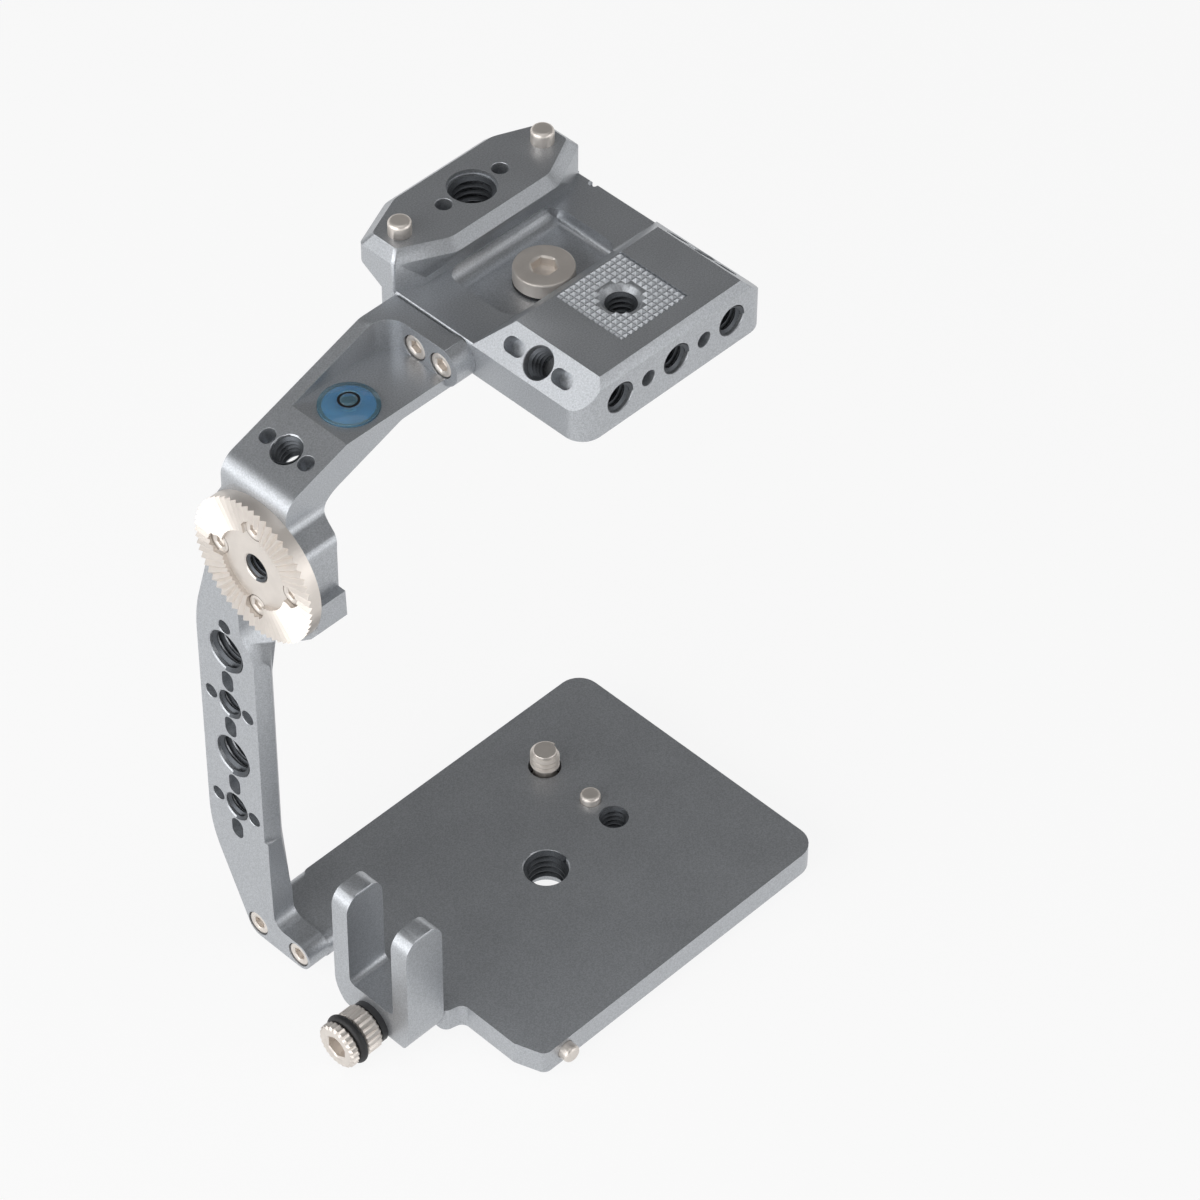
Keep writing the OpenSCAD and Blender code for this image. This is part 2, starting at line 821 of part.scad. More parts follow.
module arm_body() {
    along_y(arm_y0, arm_y1) arm_section();
    intersection() {
        along_x(leg_x, pad_floor_x) leg_section();
        along_y(arm_y0 - leg_half, arm_y1 + leg_half) arm_section();
    }
    translate([end_wall_x, end_screw_y, end_screw_z])
        facing_right()
            cylinder(r = end_screw_drop, h = end_wall_t);
}

module arm_pocket() {
    along_z(slab_z0, slab_z1 + over)
        polygon(rounded([
            [pad_floor_x, arm_y0 - over, 0], [end_wall_x, arm_y0 - over, 0],
            [end_wall_x, arm_wall_y, arm_pocket_r], [pad_floor_x, arm_wall_y, 0]
        ]));
    translate([vial_x, vial_y, vial_z0])
        cylinder(d = vial_d + 2 * fit_gap, h = vial_h + over);
}

module pad_holes() {
    translate([pad_x, arm_mid_y, pad_z])
        rotate([0, -pad_angle, 0]) {
            bored(quarter_d, arm_t + pad_bore_more);
            for (y = [-locate_off, locate_off])
                translate([0, y, 0])
                    bored(locate_d, locate_depth, rim / 2);
        }
}

// Places of the rosette screws round its axis, as [Y, Z]
function rosette_spot(angle) = [
    rosette_y + rosette_screw_r * cos(angle), rosette_z + rosette_screw_r * sin(angle)
];

module arm() {
    color(anodised)
        difference() {
            arm_body();
            arm_pocket();
            pad_holes();
            for (y = [end_screw_y, end_screw_y + end_pitch])
                translate([end_wall_x, y, end_screw_z])
                    facing_left() {
                        bored(join_hole_d, end_wall_t + over, fit_gap);
                        translate([0, 0, -join_seat_t])
                            cylinder(d = join_seat_d, h = join_seat_t + over);
                    }
            translate([leg_x, rosette_y, rosette_z])
                facing_left()
                    bored_through(centre_d, leg_t, fit_gap);
            for (angle = [0, 90, 180])
                translate([leg_x, rosette_spot(angle).x, rosette_spot(angle).y])
                    facing_left()
                        bored(small_hole_d, leg_thread, fit_gap);
            for (y = [-shelf_screw_off, shelf_screw_off])
                translate([shelf_screw_x, rosette_y + y, shelf_z])
                    facing_down()
                        bored(small_hole_d, shelf_thread, fit_gap);
        }
}

module arm_screws() {
    color(steel)
        for (y = [end_screw_y, end_screw_y + end_pitch])
            translate([end_wall_x + join_seat_t, y, end_screw_z])
                facing_left()
                    join_screw(end_wall_t - join_seat_t + end_thread - over);
}

// Clear cup turned upside down over the liquid
module level_vial() {
    color(blue, 0.5)
        translate([vial_x, vial_y, vial_z0])
            difference() {
                intersection() {
                    cylinder(d = vial_d, h = vial_h + dome_h);
                    translate([0, 0, vial_h + dome_h - dome_r])
                        sphere(r = dome_r);
                }
                translate([0, 0, -over])
                    cylinder(d = vial_d - 2 * vial_wall, h = vial_h - vial_roof + over);
                translate([0, 0, vial_h + dome_h - ring_t - ring_sink])
                    ring_band(0, over);
            }
}

module level_liquid() {
    color(blue)
        translate([vial_x, vial_y, vial_z0])
            cylinder(d = vial_d - 2 * vial_wall - 2 * fit_gap, h = vial_h - vial_roof - fit_gap);
}

// Flat band of the black ring, shrunk by a gap and raised by a height
module ring_band(gap, more) {
    difference() {
        cylinder(d = ring_d - 2 * gap, h = ring_t + more);
        translate([0, 0, -over])
            cylinder(d = ring_d - 2 * ring_w + 2 * gap, h = ring_t + more + 2 * over);
    }
}

module level_ring() {
    color(black)
        translate([vial_x, vial_y, vial_z0 + vial_h + dome_h - ring_t - ring_sink])
            ring_band(fit_gap, 0);
}

// Radial V groove between two teeth, shallower towards the hub
module tooth_groove() {
    reach = rosette_d / 2 + over;
    translate([0, 0, crest_t])
        rotate([0, tooth_tilt, 0])
            along_x(groove_from, reach)
                polygon([[0, 0], [groove_h, groove_h], [-groove_h, groove_h]]);
}

module rosette() {
    color(steel)
        translate([leg_x, rosette_y, rosette_z])
            facing_left()
                difference() {
                    cylinder(d = rosette_d, h = crest_t);
                    translate([0, 0, hub_t])
                        cylinder(d = hub_d, h = crest_t);
                    for (i = [0:teeth - 1])
                        rotate([0, 0, full_turn * (i + 1 / 2) / teeth])
                            tooth_groove();
                    translate([0, 0, hub_t])
                        bored(centre_d, hub_t + over);
                    for (angle = [0, 90, 180, 270])
                        rotate([0, 0, angle])
                            translate([rosette_screw_r, 0, screw_seat_t]) {
                                cylinder(d = small_seat_d, h = crest_t);
                                translate([0, 0, -screw_seat_t - over])
                                    cylinder(d = small_hole_d, h = crest_t);
                            }
                }
}

module rosette_screws() {
    color(steel)
        translate([leg_x, rosette_y, rosette_z])
            facing_left()
                for (angle = [0, 90, 180, 270])
                    rotate([0, 0, angle])
                        translate([rosette_screw_r, 0, screw_seat_t])
                            small_screw(screw_seat_t + rosette_thread);
}

// Side plate seen from the side: shelf, neck, straight middle and foot
module side_section() {
    polygon(concat(
        rounded([
            [rosette_y - shelf_back, shelf_z, 0], [rosette_y + shelf_front, shelf_z, 0],
            [side_y1, rosette_z - shoulder_drop, shoulder_r],
            [side_y1, base_z0 + front_hip, front_hip_r],
            [toe_y, base_z0, foot_r], [heel_y, base_z0, foot_r],
            [heel_y, base_z0 + foot_h, foot_r], [ankle_y, base_z0 + foot_h, ankle_r],
            [side_y0, base_z0 + rear_hip, rear_hip_r],
            [side_y0, rosette_z - waist_low, waist_r],
            [neck_y, rosette_z - waist_high, waist_r],
            [neck_y, rosette_z - sqrt(pow(shelf_r, 2) - pow(neck_y - rosette_y, 2)), neck_soft]
        ]),
        arc_points([rosette_y, rosette_z], shelf_r, shelf_from_angle,
            shelf_to_angle - shelf_from_angle, shelf_arc_steps)
    ));
}

module side_holes() {
    for (i = [0, 2])
        translate([leg_x, line_row, hole_top_z - i * hole_pitch])
            facing_left()
                bored_through(three_d, side_t);
    for (i = [1, 3])
        translate([leg_x, line_row, hole_top_z - i * hole_pitch])
            facing_left() {
                bored_through(quarter_d, side_t);
                for (y = [-locate_off, locate_off])
                    translate([0, y, 0])
                        bored_through(locate_d, side_t, rim / 2);
                for (z = [-side_slot_off, side_slot_off])
                    translate([z, 0, 0])
                        slot(slot_l, slot_w, side_t + over);
            }
    translate([leg_x, line_row, hole_top_z + small_off])
        facing_left()
            bored(locate_d, leg_t + over, rim / 2);
}

// Side plate seen from the rear: as thick as the leg at its shelf, thinner below
module side_thickness() {
    polygon(rounded([
        [leg_x, base_z0, 0], [side_in_x, base_z0, 0],
        [side_in_x, rosette_z - thin_end, thin_r], [leg_in_x, rosette_z - thin_top, thin_r],
        [leg_in_x, shelf_z, 0], [leg_x, shelf_z, 0]
    ]));
}

// Cuts along the rear edge: a slant on the outside and a chamfer on the inside
module side_edges() {
    along_z(base_z0 + edge_low, edge_top_z)
        polygon([
            [leg_x, side_y0 + edge_in], [leg_x + edge_out, side_y0],
            [leg_x + edge_out, side_y0 - over], [leg_x - over, side_y0 - over],
            [leg_x - over, side_y0 + edge_in]
        ]);
    along_z(base_z0 + edge_low, edge_top_z) inner_edge_cut(inner_edge);
    hull() {
        along_z(base_z0 + inner_low, base_z0 + inner_low + slice) inner_edge_cut(slice);
        along_z(base_z0 + edge_low, base_z0 + edge_low + slice) inner_edge_cut(inner_edge);
    }
}

module inner_edge_cut(cut) {
    polygon([
        [side_in_x, side_y0 + cut], [side_in_x - cut, side_y0],
        [side_in_x - cut, side_y0 - over], [leg_in_x + over, side_y0 - over],
        [leg_in_x + over, side_y0 + cut]
    ]);
}

module side_plate() {
    color(anodised)
        difference() {
            intersection() {
                along_x(leg_x, leg_in_x) side_section();
                along_y(rosette_y - shelf_back - over, side_y1 + over) side_thickness();
            }
            side_edges();
            side_holes();
            translate([leg_x, rosette_y, rosette_z])
                facing_left()
                    bored_through(centre_d, leg_t, fit_gap);
            translate([side_in_x, line_row, hole_top_z])
                facing_right()
                    cylinder(d = three_d + 2 * spot_wall, h = leg_t);
            for (y = [-foot_pitch / 2, foot_pitch / 2])
                translate([leg_x, foot_mid_y + y, foot_z])
                    facing_left() {
                        bored(join_hole_d, side_t + over, fit_gap);
                        translate([0, 0, -join_seat_t])
                            cylinder(d = join_seat_d, h = join_seat_t + over);
                    }
            translate([leg_x, rosette_spot(-90).x, rosette_spot(-90).y])
                facing_left()
                    bored(small_hole_d, side_t - over, fit_gap);
            for (y = [-shelf_screw_off, shelf_screw_off])
                translate([shelf_screw_x, rosette_y + y, rosette_z - shelf_head_drop]) {
                    cylinder(d = small_hole_d, h = shelf_head_drop);
                    translate([0, 0, -shelf_r])
                        cylinder(d = small_seat_d, h = shelf_r);
                }
        }
}

module shelf_screws() {
    color(steel)
        for (y = [-shelf_screw_off, shelf_screw_off])
            translate([shelf_screw_x, rosette_y + y, rosette_z - shelf_head_drop])
                facing_down()
                    small_screw(shelf_head_drop - shelf_drop + shelf_thread - over);
}

module foot_screws() {
    color(steel)
        for (y = [-foot_pitch / 2, foot_pitch / 2])
            translate([leg_x + join_seat_t, foot_mid_y + y, foot_z])
                facing_left()
                    join_screw(side_t - join_seat_t + foot_thread - over);
}

// Base plate seen from above, with its bosses for the foot and the clamp
module base_outline() {
    polygon(rounded([
        [base_x0, boss_y1 - foot_h / 2, 0], [base_x0 + base_soft, base_front, boss_soft],
        [plate_x, base_front, base_corner_r], [plate_x, -base_rear, base_corner_r],
        [base_x0 + rear_cut_x, -base_rear, base_soft],
        [base_x0, -base_rear + rear_cut_y, base_soft],
        [base_x0, clamp_y0 - clamp_boss_in, base_soft],
        [clamp_seat_x, clamp_y0, base_soft], [clamp_seat_x, clamp_y1, base_soft],
        [base_x0, clamp_y1 + clamp_boss_in, base_soft]
    ]));
}

// Boss that meets the side plate's foot, rounded like the foot itself
module foot_boss() {
    along_x(side_in_x, base_x0 + base_corner_r)
        polygon(rounded([
            [boss_y0, base_z0, foot_boss_r], [boss_y1, base_z0, foot_boss_r],
            [boss_y1, base_z1, foot_boss_r], [boss_y0, base_z1, foot_boss_r]
        ]));
}

module tripod_pad() {
    translate([pad_shift_x, pad_shift_y, 0])
        along_z(0, base_z0)
            polygon(rounded([
                [-pad_l / 2, -pad_w / 2, pad_corner_r], [pad_l / 2, -pad_w / 2, pad_corner_r],
                [pad_l / 2, pad_w / 2, pad_corner_r], [-pad_l / 2, pad_w / 2, pad_corner_r]
            ]));
}

module base_plate() {
    color(anodised)
        difference() {
            union() {
                along_z(base_z0, base_z1) base_outline();
                foot_boss();
                tripod_pad();
            }
            facing_down()
                bored(quarter_d, base_z1 + over, 0);
            translate([-socket_side, 0, 0])
                facing_down()
                    bored_through(three_d, base_z1);
            translate([0, camera_y, -over])
                cylinder(d = captive_head_d + 4 * head_gap, h = camera_seat + over);
            translate([0, camera_y, 0])
                cylinder(d = through_d, h = base_z1 + over);
            translate([0, camera_y - pin_y, base_z1])
                bored(twist_pin_d + 2 * fit_gap, twist_pin_l - twist_pin_out, fit_gap);
            for (y = [-foot_pitch / 2, foot_pitch / 2])
                translate([side_in_x, foot_mid_y + y, foot_z])
                    facing_left()
                        bored(join_hole_d, foot_thread, fit_gap);
            translate([clamp_seat_x, clamp_y, knob_z])
                facing_left()
                    bored(knob_thread_d + 2 * fit_gap, knob_reach + 2 * over, fit_gap);
            translate([base_x0 + stop_pin_in, -base_rear, knob_z])
                facing_back()
                    bored(stop_pin_d + 2 * fit_gap, stop_pin_l - stop_pin_out, fit_gap);
        }
}

module anti_twist_pin() {
    color(steel)
        translate([0, camera_y - pin_y, base_z1 + twist_pin_out - twist_pin_l])
            rotate_extrude()
                polygon(rounded([
                    [0, 0, 0], [twist_pin_d / 2, 0, 0],
                    [twist_pin_d / 2, twist_pin_l, pin_round], [0, twist_pin_l, 0]
                ]));
}

module rear_stop_pin() {
    color(steel)
        translate([base_x0 + stop_pin_in, -base_rear + stop_pin_l - stop_pin_out, knob_z])
            facing_back()
                rotate_extrude()
                    polygon(rounded([
                        [0, 0, 0], [stop_pin_d / 2, 0, 0],
                        [stop_pin_d / 2, stop_pin_l, pin_round], [0, stop_pin_l, 0]
                    ]));
}

module camera_screw_washer() {
    color(black)
        translate([0, camera_y, camera_seat - thin_washer_t])
            thin_washer();
}

module camera_screw() {
    head_top = camera_seat - thin_washer_t - fit_gap;
    color(steel)
        translate([0, camera_y, head_top])
            facing_down()
                captive_screw(camera_head_h, quarter_d - screw_play,
                    base_z1 - head_top + captive_reach);
}

module cable_clamp() {
    gap_y0 = clamp_y - clamp_gap / 2;
    gap_y1 = clamp_y + clamp_gap / 2;
    gap_z = base_z0 + clamp_floor;
    color(anodised)
        difference() {
            intersection() {
                along_x(clamp_x0, clamp_x1)
                    polygon(rounded([
                        [clamp_y0, base_z0, clamp_rear_r], [clamp_y1, base_z0, clamp_front_r],
                        [clamp_y1, clamp_z1, prong_soft], [gap_y1, clamp_z1, prong_soft],
                        [gap_y1, gap_z, gap_soft], [gap_y0, gap_z, gap_soft],
                        [gap_y0, clamp_z1, prong_soft], [clamp_y0, clamp_z1, prong_soft]
                    ]));
                along_y(clamp_y0, clamp_y1)
                    polygon(rounded([
                        [clamp_x0, base_z0, clamp_foot_r], [clamp_x1, base_z0, prong_soft],
                        [clamp_x1, clamp_z1, prong_top_r], [clamp_x0, clamp_z1, prong_top_r]
                    ]));
            }
            translate([clamp_x0, clamp_y, knob_z])
                facing_left()
                    bored_through(knob_hole_d, clamp_depth);
        }
}

module clamp_washer() {
    color(black)
        translate([clamp_x0, clamp_y, knob_z])
            facing_left()
                difference() {
                    cylinder(d = washer_d, h = washer_t);
                    translate([0, 0, -over])
                        cylinder(d = knob_hole_d, h = washer_t + 2 * over);
                }
}

// Knurled disc: straight ridges round a cylinder, as a star outline
module knurled(d, h) {
    linear_extrude(h)
        polygon([
            for (i = [0:2 * knurls - 1])
                let (r = d / 2 - (i % 2) * knurl_out)
                r * [cos(half_turn * i / knurls), sin(half_turn * i / knurls)]
        ]);
}

module clamp_knob() {
    groove_at = knob_x1 - o_ring_x - groove_w / 2;
    color(steel)
        translate([knob_x1, clamp_y, knob_z])
            facing_left()
                difference() {
                    union() {
                        intersection() {
                            knurled(knob_d, knob_l);
                            cylinder(d1 = knob_d - 2 * knob_edge, h = knob_l,
                                d2 = knob_d - 2 * knob_edge + knob_l);
                            cylinder(d1 = knob_d - 2 * knob_edge + knob_l, h = knob_l,
                                d2 = knob_d - 2 * knob_edge);
                        }
                        translate([0, 0, knob_x1 - clamp_seat_x - knob_reach])
                            cylinder(d = knob_thread_d, h = clamp_seat_x + knob_reach - knob_x1 + over);
                    }
                    translate([0, 0, groove_at])
                        difference() {
                            cylinder(d = knob_d + over, h = groove_w);
                            cylinder(d = groove_d, h = groove_w);
                        }
                    translate([0, 0, knob_l - knob_hex_depth])
                        cylinder(d = knob_hex, h = knob_hex_depth + over, $fn = hex_sides);
                }
}

module clamp_o_ring() {
    color(black)
        translate([o_ring_x, clamp_y, knob_z])
            facing_left()
                rotate_extrude()
                    translate([o_ring_mid_r, 0])
                        circle(d = o_ring_t);
}

top_plate();
locating_pins();
top_screw_washer();
top_screw();
arm();
arm_screws();
level_vial();
level_liquid();
level_ring();
rosette();
rosette_screws();
side_plate();
shelf_screws();
foot_screws();
base_plate();
anti_twist_pin();
rear_stop_pin();
camera_screw_washer();
camera_screw();
cable_clamp();
clamp_washer();
clamp_knob();
clamp_o_ring();
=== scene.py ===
"""Looks for a half camera cage: anodised plates, steel screws and rosette, bubble level and thumb screw."""

import math

import bmesh
import bpy
from bpy.props import FloatProperty, FloatVectorProperty, IntProperty, PointerProperty
from mathutils import Euler, Matrix, Vector


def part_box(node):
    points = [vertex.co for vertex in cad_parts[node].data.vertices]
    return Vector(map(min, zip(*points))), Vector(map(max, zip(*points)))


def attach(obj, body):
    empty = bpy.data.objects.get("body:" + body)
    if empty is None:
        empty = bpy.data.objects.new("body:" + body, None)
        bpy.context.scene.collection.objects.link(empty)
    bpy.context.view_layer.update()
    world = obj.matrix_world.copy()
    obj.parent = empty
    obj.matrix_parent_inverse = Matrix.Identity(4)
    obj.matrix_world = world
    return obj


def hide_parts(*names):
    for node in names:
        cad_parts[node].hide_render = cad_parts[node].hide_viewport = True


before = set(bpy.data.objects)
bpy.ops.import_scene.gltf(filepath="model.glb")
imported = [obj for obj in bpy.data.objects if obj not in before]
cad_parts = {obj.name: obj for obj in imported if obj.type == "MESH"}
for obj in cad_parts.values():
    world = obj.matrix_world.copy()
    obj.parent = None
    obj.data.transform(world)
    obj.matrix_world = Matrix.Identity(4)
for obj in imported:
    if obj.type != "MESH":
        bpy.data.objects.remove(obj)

bl_info = {
    "name": "Camera cage",
    "version": (1, 0, 0),
    "blender": (4, 5, 0),
    "location": "View3D > Sidebar > Cage",
    "description": "Dresses the packed camera cage, piece by piece, and sets its studio",
    "category": "Object",
}

MM = 0.001
TURN = 2 * math.pi
# Points round every turned ring
FACETS = 48
# Points nearer than this are one
MERGE = 0.002 * MM
# Faces that differ less are one flat face, and edges sharper than EDGE_DEGREES get a chamfer
FLAT_DEGREES, EDGE_DEGREES = 0.6, 58


def linear(colour):
    """An sRGB hex colour such as "#6c6f72" as linear red, green, blue and alpha."""
    shares = [int(colour[i : i + 2], 16) / 255 for i in (1, 3, 5)]
    return tuple(c / 12.92 if c <= 0.04045 else ((c + 0.055) / 1.055) ** 2.4 for c in shares) + (1.0,)


def colour_of(name, words, default):
    return FloatVectorProperty(
        name=name, description=words, subtype="COLOR", size=4, min=0, max=1, default=linear(default))


def length_of(name, words, mm):
    return FloatProperty(
        name=name, description=words, subtype="DISTANCE", unit="LENGTH", min=0, max=40 * MM,
        default=mm * MM, precision=5)


def count_of(name, words, least, most, default):
    return IntProperty(name=name, description=words, min=least, max=most, default=default)


class CageSizes(bpy.types.PropertyGroup):
    """Sizes of the details that the looks add to the solids."""

    plate_edge: length_of("Plate edge", "Width of the small chamfer along the plates' edges", 0.22)
    side_edge: length_of("Side plate edge", "Width of the chamfer along the side plate's edges", 0.055)
    clamp_edge: length_of("Clamp edge", "Width of the chamfer along the cable clamp's edges", 0.5)
    quarter_pitch: length_of("Quarter-inch pitch", "Pitch of the 1/4-20 threads", 1.27)
    three_pitch: length_of("Three-eighths pitch", "Pitch of the 3/8-16 threads", 1.5875)
    knurl_rows: count_of("Knurl rows", "Pyramids along each side of the knurled square", 4, 24, 13)
    knob_ridges: count_of("Knob ridges", "Ridges round the thumb screw's head", 12, 48, 24)


class CageColours(bpy.types.PropertyGroup):
    """Colours of the finishes."""

    anodised: colour_of("Anodised", "Space-grey anodised aluminium", "#b4b7bb")
    stainless: colour_of("Stainless", "Turned stainless steel", "#ded7d0")
    # The tapped colour is painted shade: a darker grey than the anodised one, standing for the shade inside
    # the holes
    tapped_painted_shade: colour_of("Tapped", "Anodised aluminium inside the tapped holes", "#55585c")
    bubble: colour_of("Bubble", "Air bubble of the level", "#8fd0f0")
    nylon: colour_of("Nylon", "Black nylon washers", "#2a2a2c")
    acrylic: colour_of("Acrylic", "Clear blue acrylic of the level", "#a6ddf7")
    spirit: colour_of("Spirit", "Blue spirit in the level", "#36a0d6")
    ink: colour_of("Ink", "Printed ring on the level", "#141416")
    rubber: colour_of("Rubber", "Black rubber of the O-ring", "#1b1b1d")
    floor: colour_of("Floor", "Pale studio floor", "#f4f4f4")


def sizes():
    return bpy.context.scene.cage_sizes


def colours():
    return bpy.context.scene.cage_colours


# Nodes and materials


def add(tree, kind, inputs=None, **settings):
    """Adds a node, sets it up, and links or fills its inputs."""
    node = tree.nodes.new(kind)
    for key, value in settings.items():
        setattr(node, key, value)
    for key, value in (inputs or {}).items():
        socket = node.inputs[key]
        if isinstance(value, bpy.types.NodeSocket):
            tree.links.new(value, socket)
        else:
            socket.default_value = value
    return node


def material(name, build):
    """The named material, built once by the function given."""
    made = bpy.data.materials.get(name)
    if made is None:
        made = bpy.data.materials.new(name)
        made.use_nodes = True
        made.node_tree.nodes.clear()
        surface = build(made.node_tree)
        add(made.node_tree, "ShaderNodeOutputMaterial", {"Surface": surface})
    return made


def grain(tree, size_mm, detail=2.0):
    """Noise on object coordinates whose features are about size_mm across."""
    place = add(tree, "ShaderNodeTexCoord").outputs["Object"]
    noise = add(tree, "ShaderNodeTexNoise", {"Vector": place, "Scale": 1 / (size_mm * MM), "Detail": detail})
    return noise.outputs[0]


def tones(tree, value, colour, spread):
    """A colour that runs from darker to lighter by the spread, over the middle of the noise's range."""
    ramp = add(tree, "ShaderNodeValToRGB", {"Fac": value})
    for element, place, gain in zip(ramp.color_ramp.elements, (0.35, 0.65), (1 - spread, 1 + spread)):
        element.position = place
        element.color = [min(1.0, c * gain) for c in colour[:3]] + [1.0]
    return ramp.outputs["Color"]


def finished(tree, colour, dull, constants, dents=None):
    """A surface of one colour pattern. dull is its roughness: a noise and the least and most. dents is its
    bump: a noise, its strength and its depth in mm."""
    noise, least, most = dull
    rough = add(tree, "ShaderNodeMapRange", {
        "Value": noise, "From Min": 0.3, "From Max": 0.7, "To Min": least, "To Max": most})
    inputs = {"Base Color": colour, "Roughness": rough.outputs[0], **constants}
    if dents:
        noise, strength, depth = dents
        bump = add(tree, "ShaderNodeBump", {"Height": noise, "Strength": strength, "Distance": depth * MM})
        inputs["Normal"] = bump.outputs[0]
    return add(tree, "ShaderNodeBsdfPrincipled", inputs).outputs[0]


def build_anodised(tree):
    # Bead-blasted and anodised aluminium: an even satin grey with a fine sparkle and soft, wide highlights.
    # The blast's grain is about 0.1 mm and is drawn at 0.3 mm, or it wouldn't show.
    blast = grain(tree, 0.3, 3.0)
    colour = tones(tree, blast, colours().anodised, 0.14)
    return finished(tree, colour, (grain(tree, 9.0), 0.38, 0.44), {"Metallic": 0.8}, (blast, 0.3, 0.02))


def build_stainless(tree):
    # Turned stainless steel: bright and warm, with fine lathe marks that spread its highlights.
    marks = grain(tree, 0.12)
    colour = tones(tree, grain(tree, 3.0), colours().stainless, 0.03)
    return finished(tree, colour, (marks, 0.36, 0.44), {"Metallic": 0.7}, (marks, 0.08, 0.01))


def build_painted_hole_shade(tree):
    # The same aluminium inside a tapped hole, coloured darker as painted shade for the shade deep in the
    # hole; the cutter's marks leave it dull.
    marks = grain(tree, 0.2)
    return finished(tree, tones(tree, marks, colours().tapped_painted_shade, 0.2), (marks, 0.4, 0.5), {"Metallic": 0.9})


def build_bubble(tree):
    # Air under the level's dome: a pale, glossy lens on the blue.
    swirl = grain(tree, 1.0)
    return finished(tree, tones(tree, swirl, colours().bubble, 0.1), (swirl, 0.05, 0.1), {"IOR": 1.33})


def build_nylon(tree):
    # Black nylon: matt, faintly mottled, as it is punched from sheet.
    mottle = grain(tree, 0.4)
    colour = tones(tree, mottle, colours().nylon, 0.15)
    return finished(tree, colour, (mottle, 0.45, 0.6), {"IOR": 1.53}, (mottle, 0.2, 0.02))


def build_acrylic(tree):
    # Polished clear acrylic, tinted blue: sharp highlights, and the spirit shows through it.
    swirl = grain(tree, 5.0)
    colour = tones(tree, swirl, colours().acrylic, 0.04)
    return finished(tree, colour, (swirl, 0.03, 0.05), {"IOR": 1.49, "Transmission Weight": 0.8})


def build_spirit(tree):
    # Dyed spirit over the level's moulded floor: deep, even blue.
    swirl = grain(tree, 4.0)
    return finished(tree, tones(tree, swirl, colours().spirit, 0.08), (swirl, 0.1, 0.16), {"IOR": 1.36})


def build_ink(tree):
    # Printed black ink: dull and slightly uneven.
    film = grain(tree, 0.2)
    return finished(tree, tones(tree, film, colours().ink, 0.1), (film, 0.4, 0.5), {})


def build_rubber(tree):
    # Moulded nitrile rubber: near black with a soft sheen.
    skin = grain(tree, 0.25)
    colour = tones(tree, skin, colours().rubber, 0.12)
    return finished(tree, colour, (skin, 0.5, 0.62), {"IOR": 1.52}, (skin, 0.15, 0.02))


# The record's slots, and two finishes that pieces of a slot may have instead of its own: the tapped holes'
# darker colour, which is painted shade, and the bubble
FINISHES = {
    "anodised": ("bead_blasted_anodised_aluminium", build_anodised),
    "tapped_painted_shade": ("anodised_aluminium_of_tapped_holes", build_painted_hole_shade),
    "bubble": ("air_bubble", build_bubble),
    "steel": ("turned_stainless_steel", build_stainless),
    "washer": ("black_nylon", build_nylon),
    "vial": ("clear_blue_acrylic", build_acrylic),
    "liquid": ("blue_spirit", build_spirit),
    "black": ("printed_black_ink", build_ink),
    "o_ring": ("black_nitrile_rubber", build_rubber),
}


# Pieces


def moved(x, y, z):
    """A move by millimetres."""
    return Matrix.Translation((x * MM, y * MM, z * MM))


def new_object(name, mesh):
    made = bpy.data.objects.new(name, mesh)
    bpy.context.scene.collection.objects.link(made)
    return made


def mesh_of(name, shape):
    """Turns a bmesh into a named mesh and frees it."""
    mesh = bpy.data.meshes.new(name)
    shape.to_mesh(mesh)
    shape.free()
    return mesh


def dress(piece, slot, body, *nodes, finish=None):
    """Gives a finished piece its material, and says what it rides on and stands for."""
    piece.data.materials.clear()
    piece.data.materials.append(material(*FINISHES[finish or slot]))
    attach(piece, body)
    if nodes:
        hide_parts(*nodes)


def smooth(piece, degrees=30):
    """Smooth curved faces, with the large flat faces kept flat."""
    piece.data.shade_smooth()
    piece.data.set_sharp_from_angle(angle=math.radians(degrees))
    even = piece.modifiers.new("even", "WEIGHTED_NORMAL")
    even.keep_sharp = True
    even.weight = 80
    settle(piece)


def settle(piece):
    """Turns the piece and its modifiers into one plain mesh."""
    graph = bpy.context.evaluated_depsgraph_get()
    mesh = bpy.data.meshes.new_from_object(piece.evaluated_get(graph))
    piece.modifiers.clear()
    old = piece.data
    piece.data = mesh
    mesh.name = piece.name
    if old.users == 0:
        bpy.data.meshes.remove(old)


def node_copy(node, name, flat_degrees=FLAT_DEGREES):
    """A copy of a CAD node with its loose triangles joined and its flat faces made whole."""
    shape = bmesh.new()
    shape.from_mesh(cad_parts[node].data)
    bmesh.ops.remove_doubles(shape, verts=shape.verts, dist=MERGE)
    bmesh.ops.dissolve_limit(
        shape, angle_limit=math.radians(flat_degrees), verts=shape.verts, edges=shape.edges)
    return new_object(name, mesh_of(name, shape))


def chamfered(piece, width):
    """Softens the sharp edges, then joins points that this leaves side by side and fills gaps at corners."""
    edge = piece.modifiers.new("edge", "BEVEL")
    edge.width = width
    edge.segments = 2
    edge.limit_method = "ANGLE"
    edge.angle_limit = math.radians(EDGE_DEGREES)
    edge.miter_outer = "MITER_ARC"
    settle(piece)
    shape = bmesh.new()
    shape.from_mesh(piece.data)
    bmesh.ops.remove_doubles(shape, verts=shape.verts, dist=MERGE)
    gaps = [side for side in shape.edges if side.is_boundary]
    bmesh.ops.holes_fill(shape, edges=gaps, sides=0)
    bmesh.ops.dissolve_degenerate(shape, dist=MERGE / 2, edges=shape.edges)
    shape.to_mesh(piece.data)
    shape.free()


def plate(node, width, body="frame", flat_degrees=FLAT_DEGREES):
    """A milled node with fine chamfers, kept inside the node's own box."""
    piece = node_copy(node, node + "_body", flat_degrees)
    chamfered(piece, width)
    low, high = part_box(node)
    for vertex in piece.data.vertices:
        vertex.co = [min(max(c, low[i]), high[i]) for i, c in enumerate(vertex.co)]
    smooth(piece)
    dress(piece, "anodised", body, node)


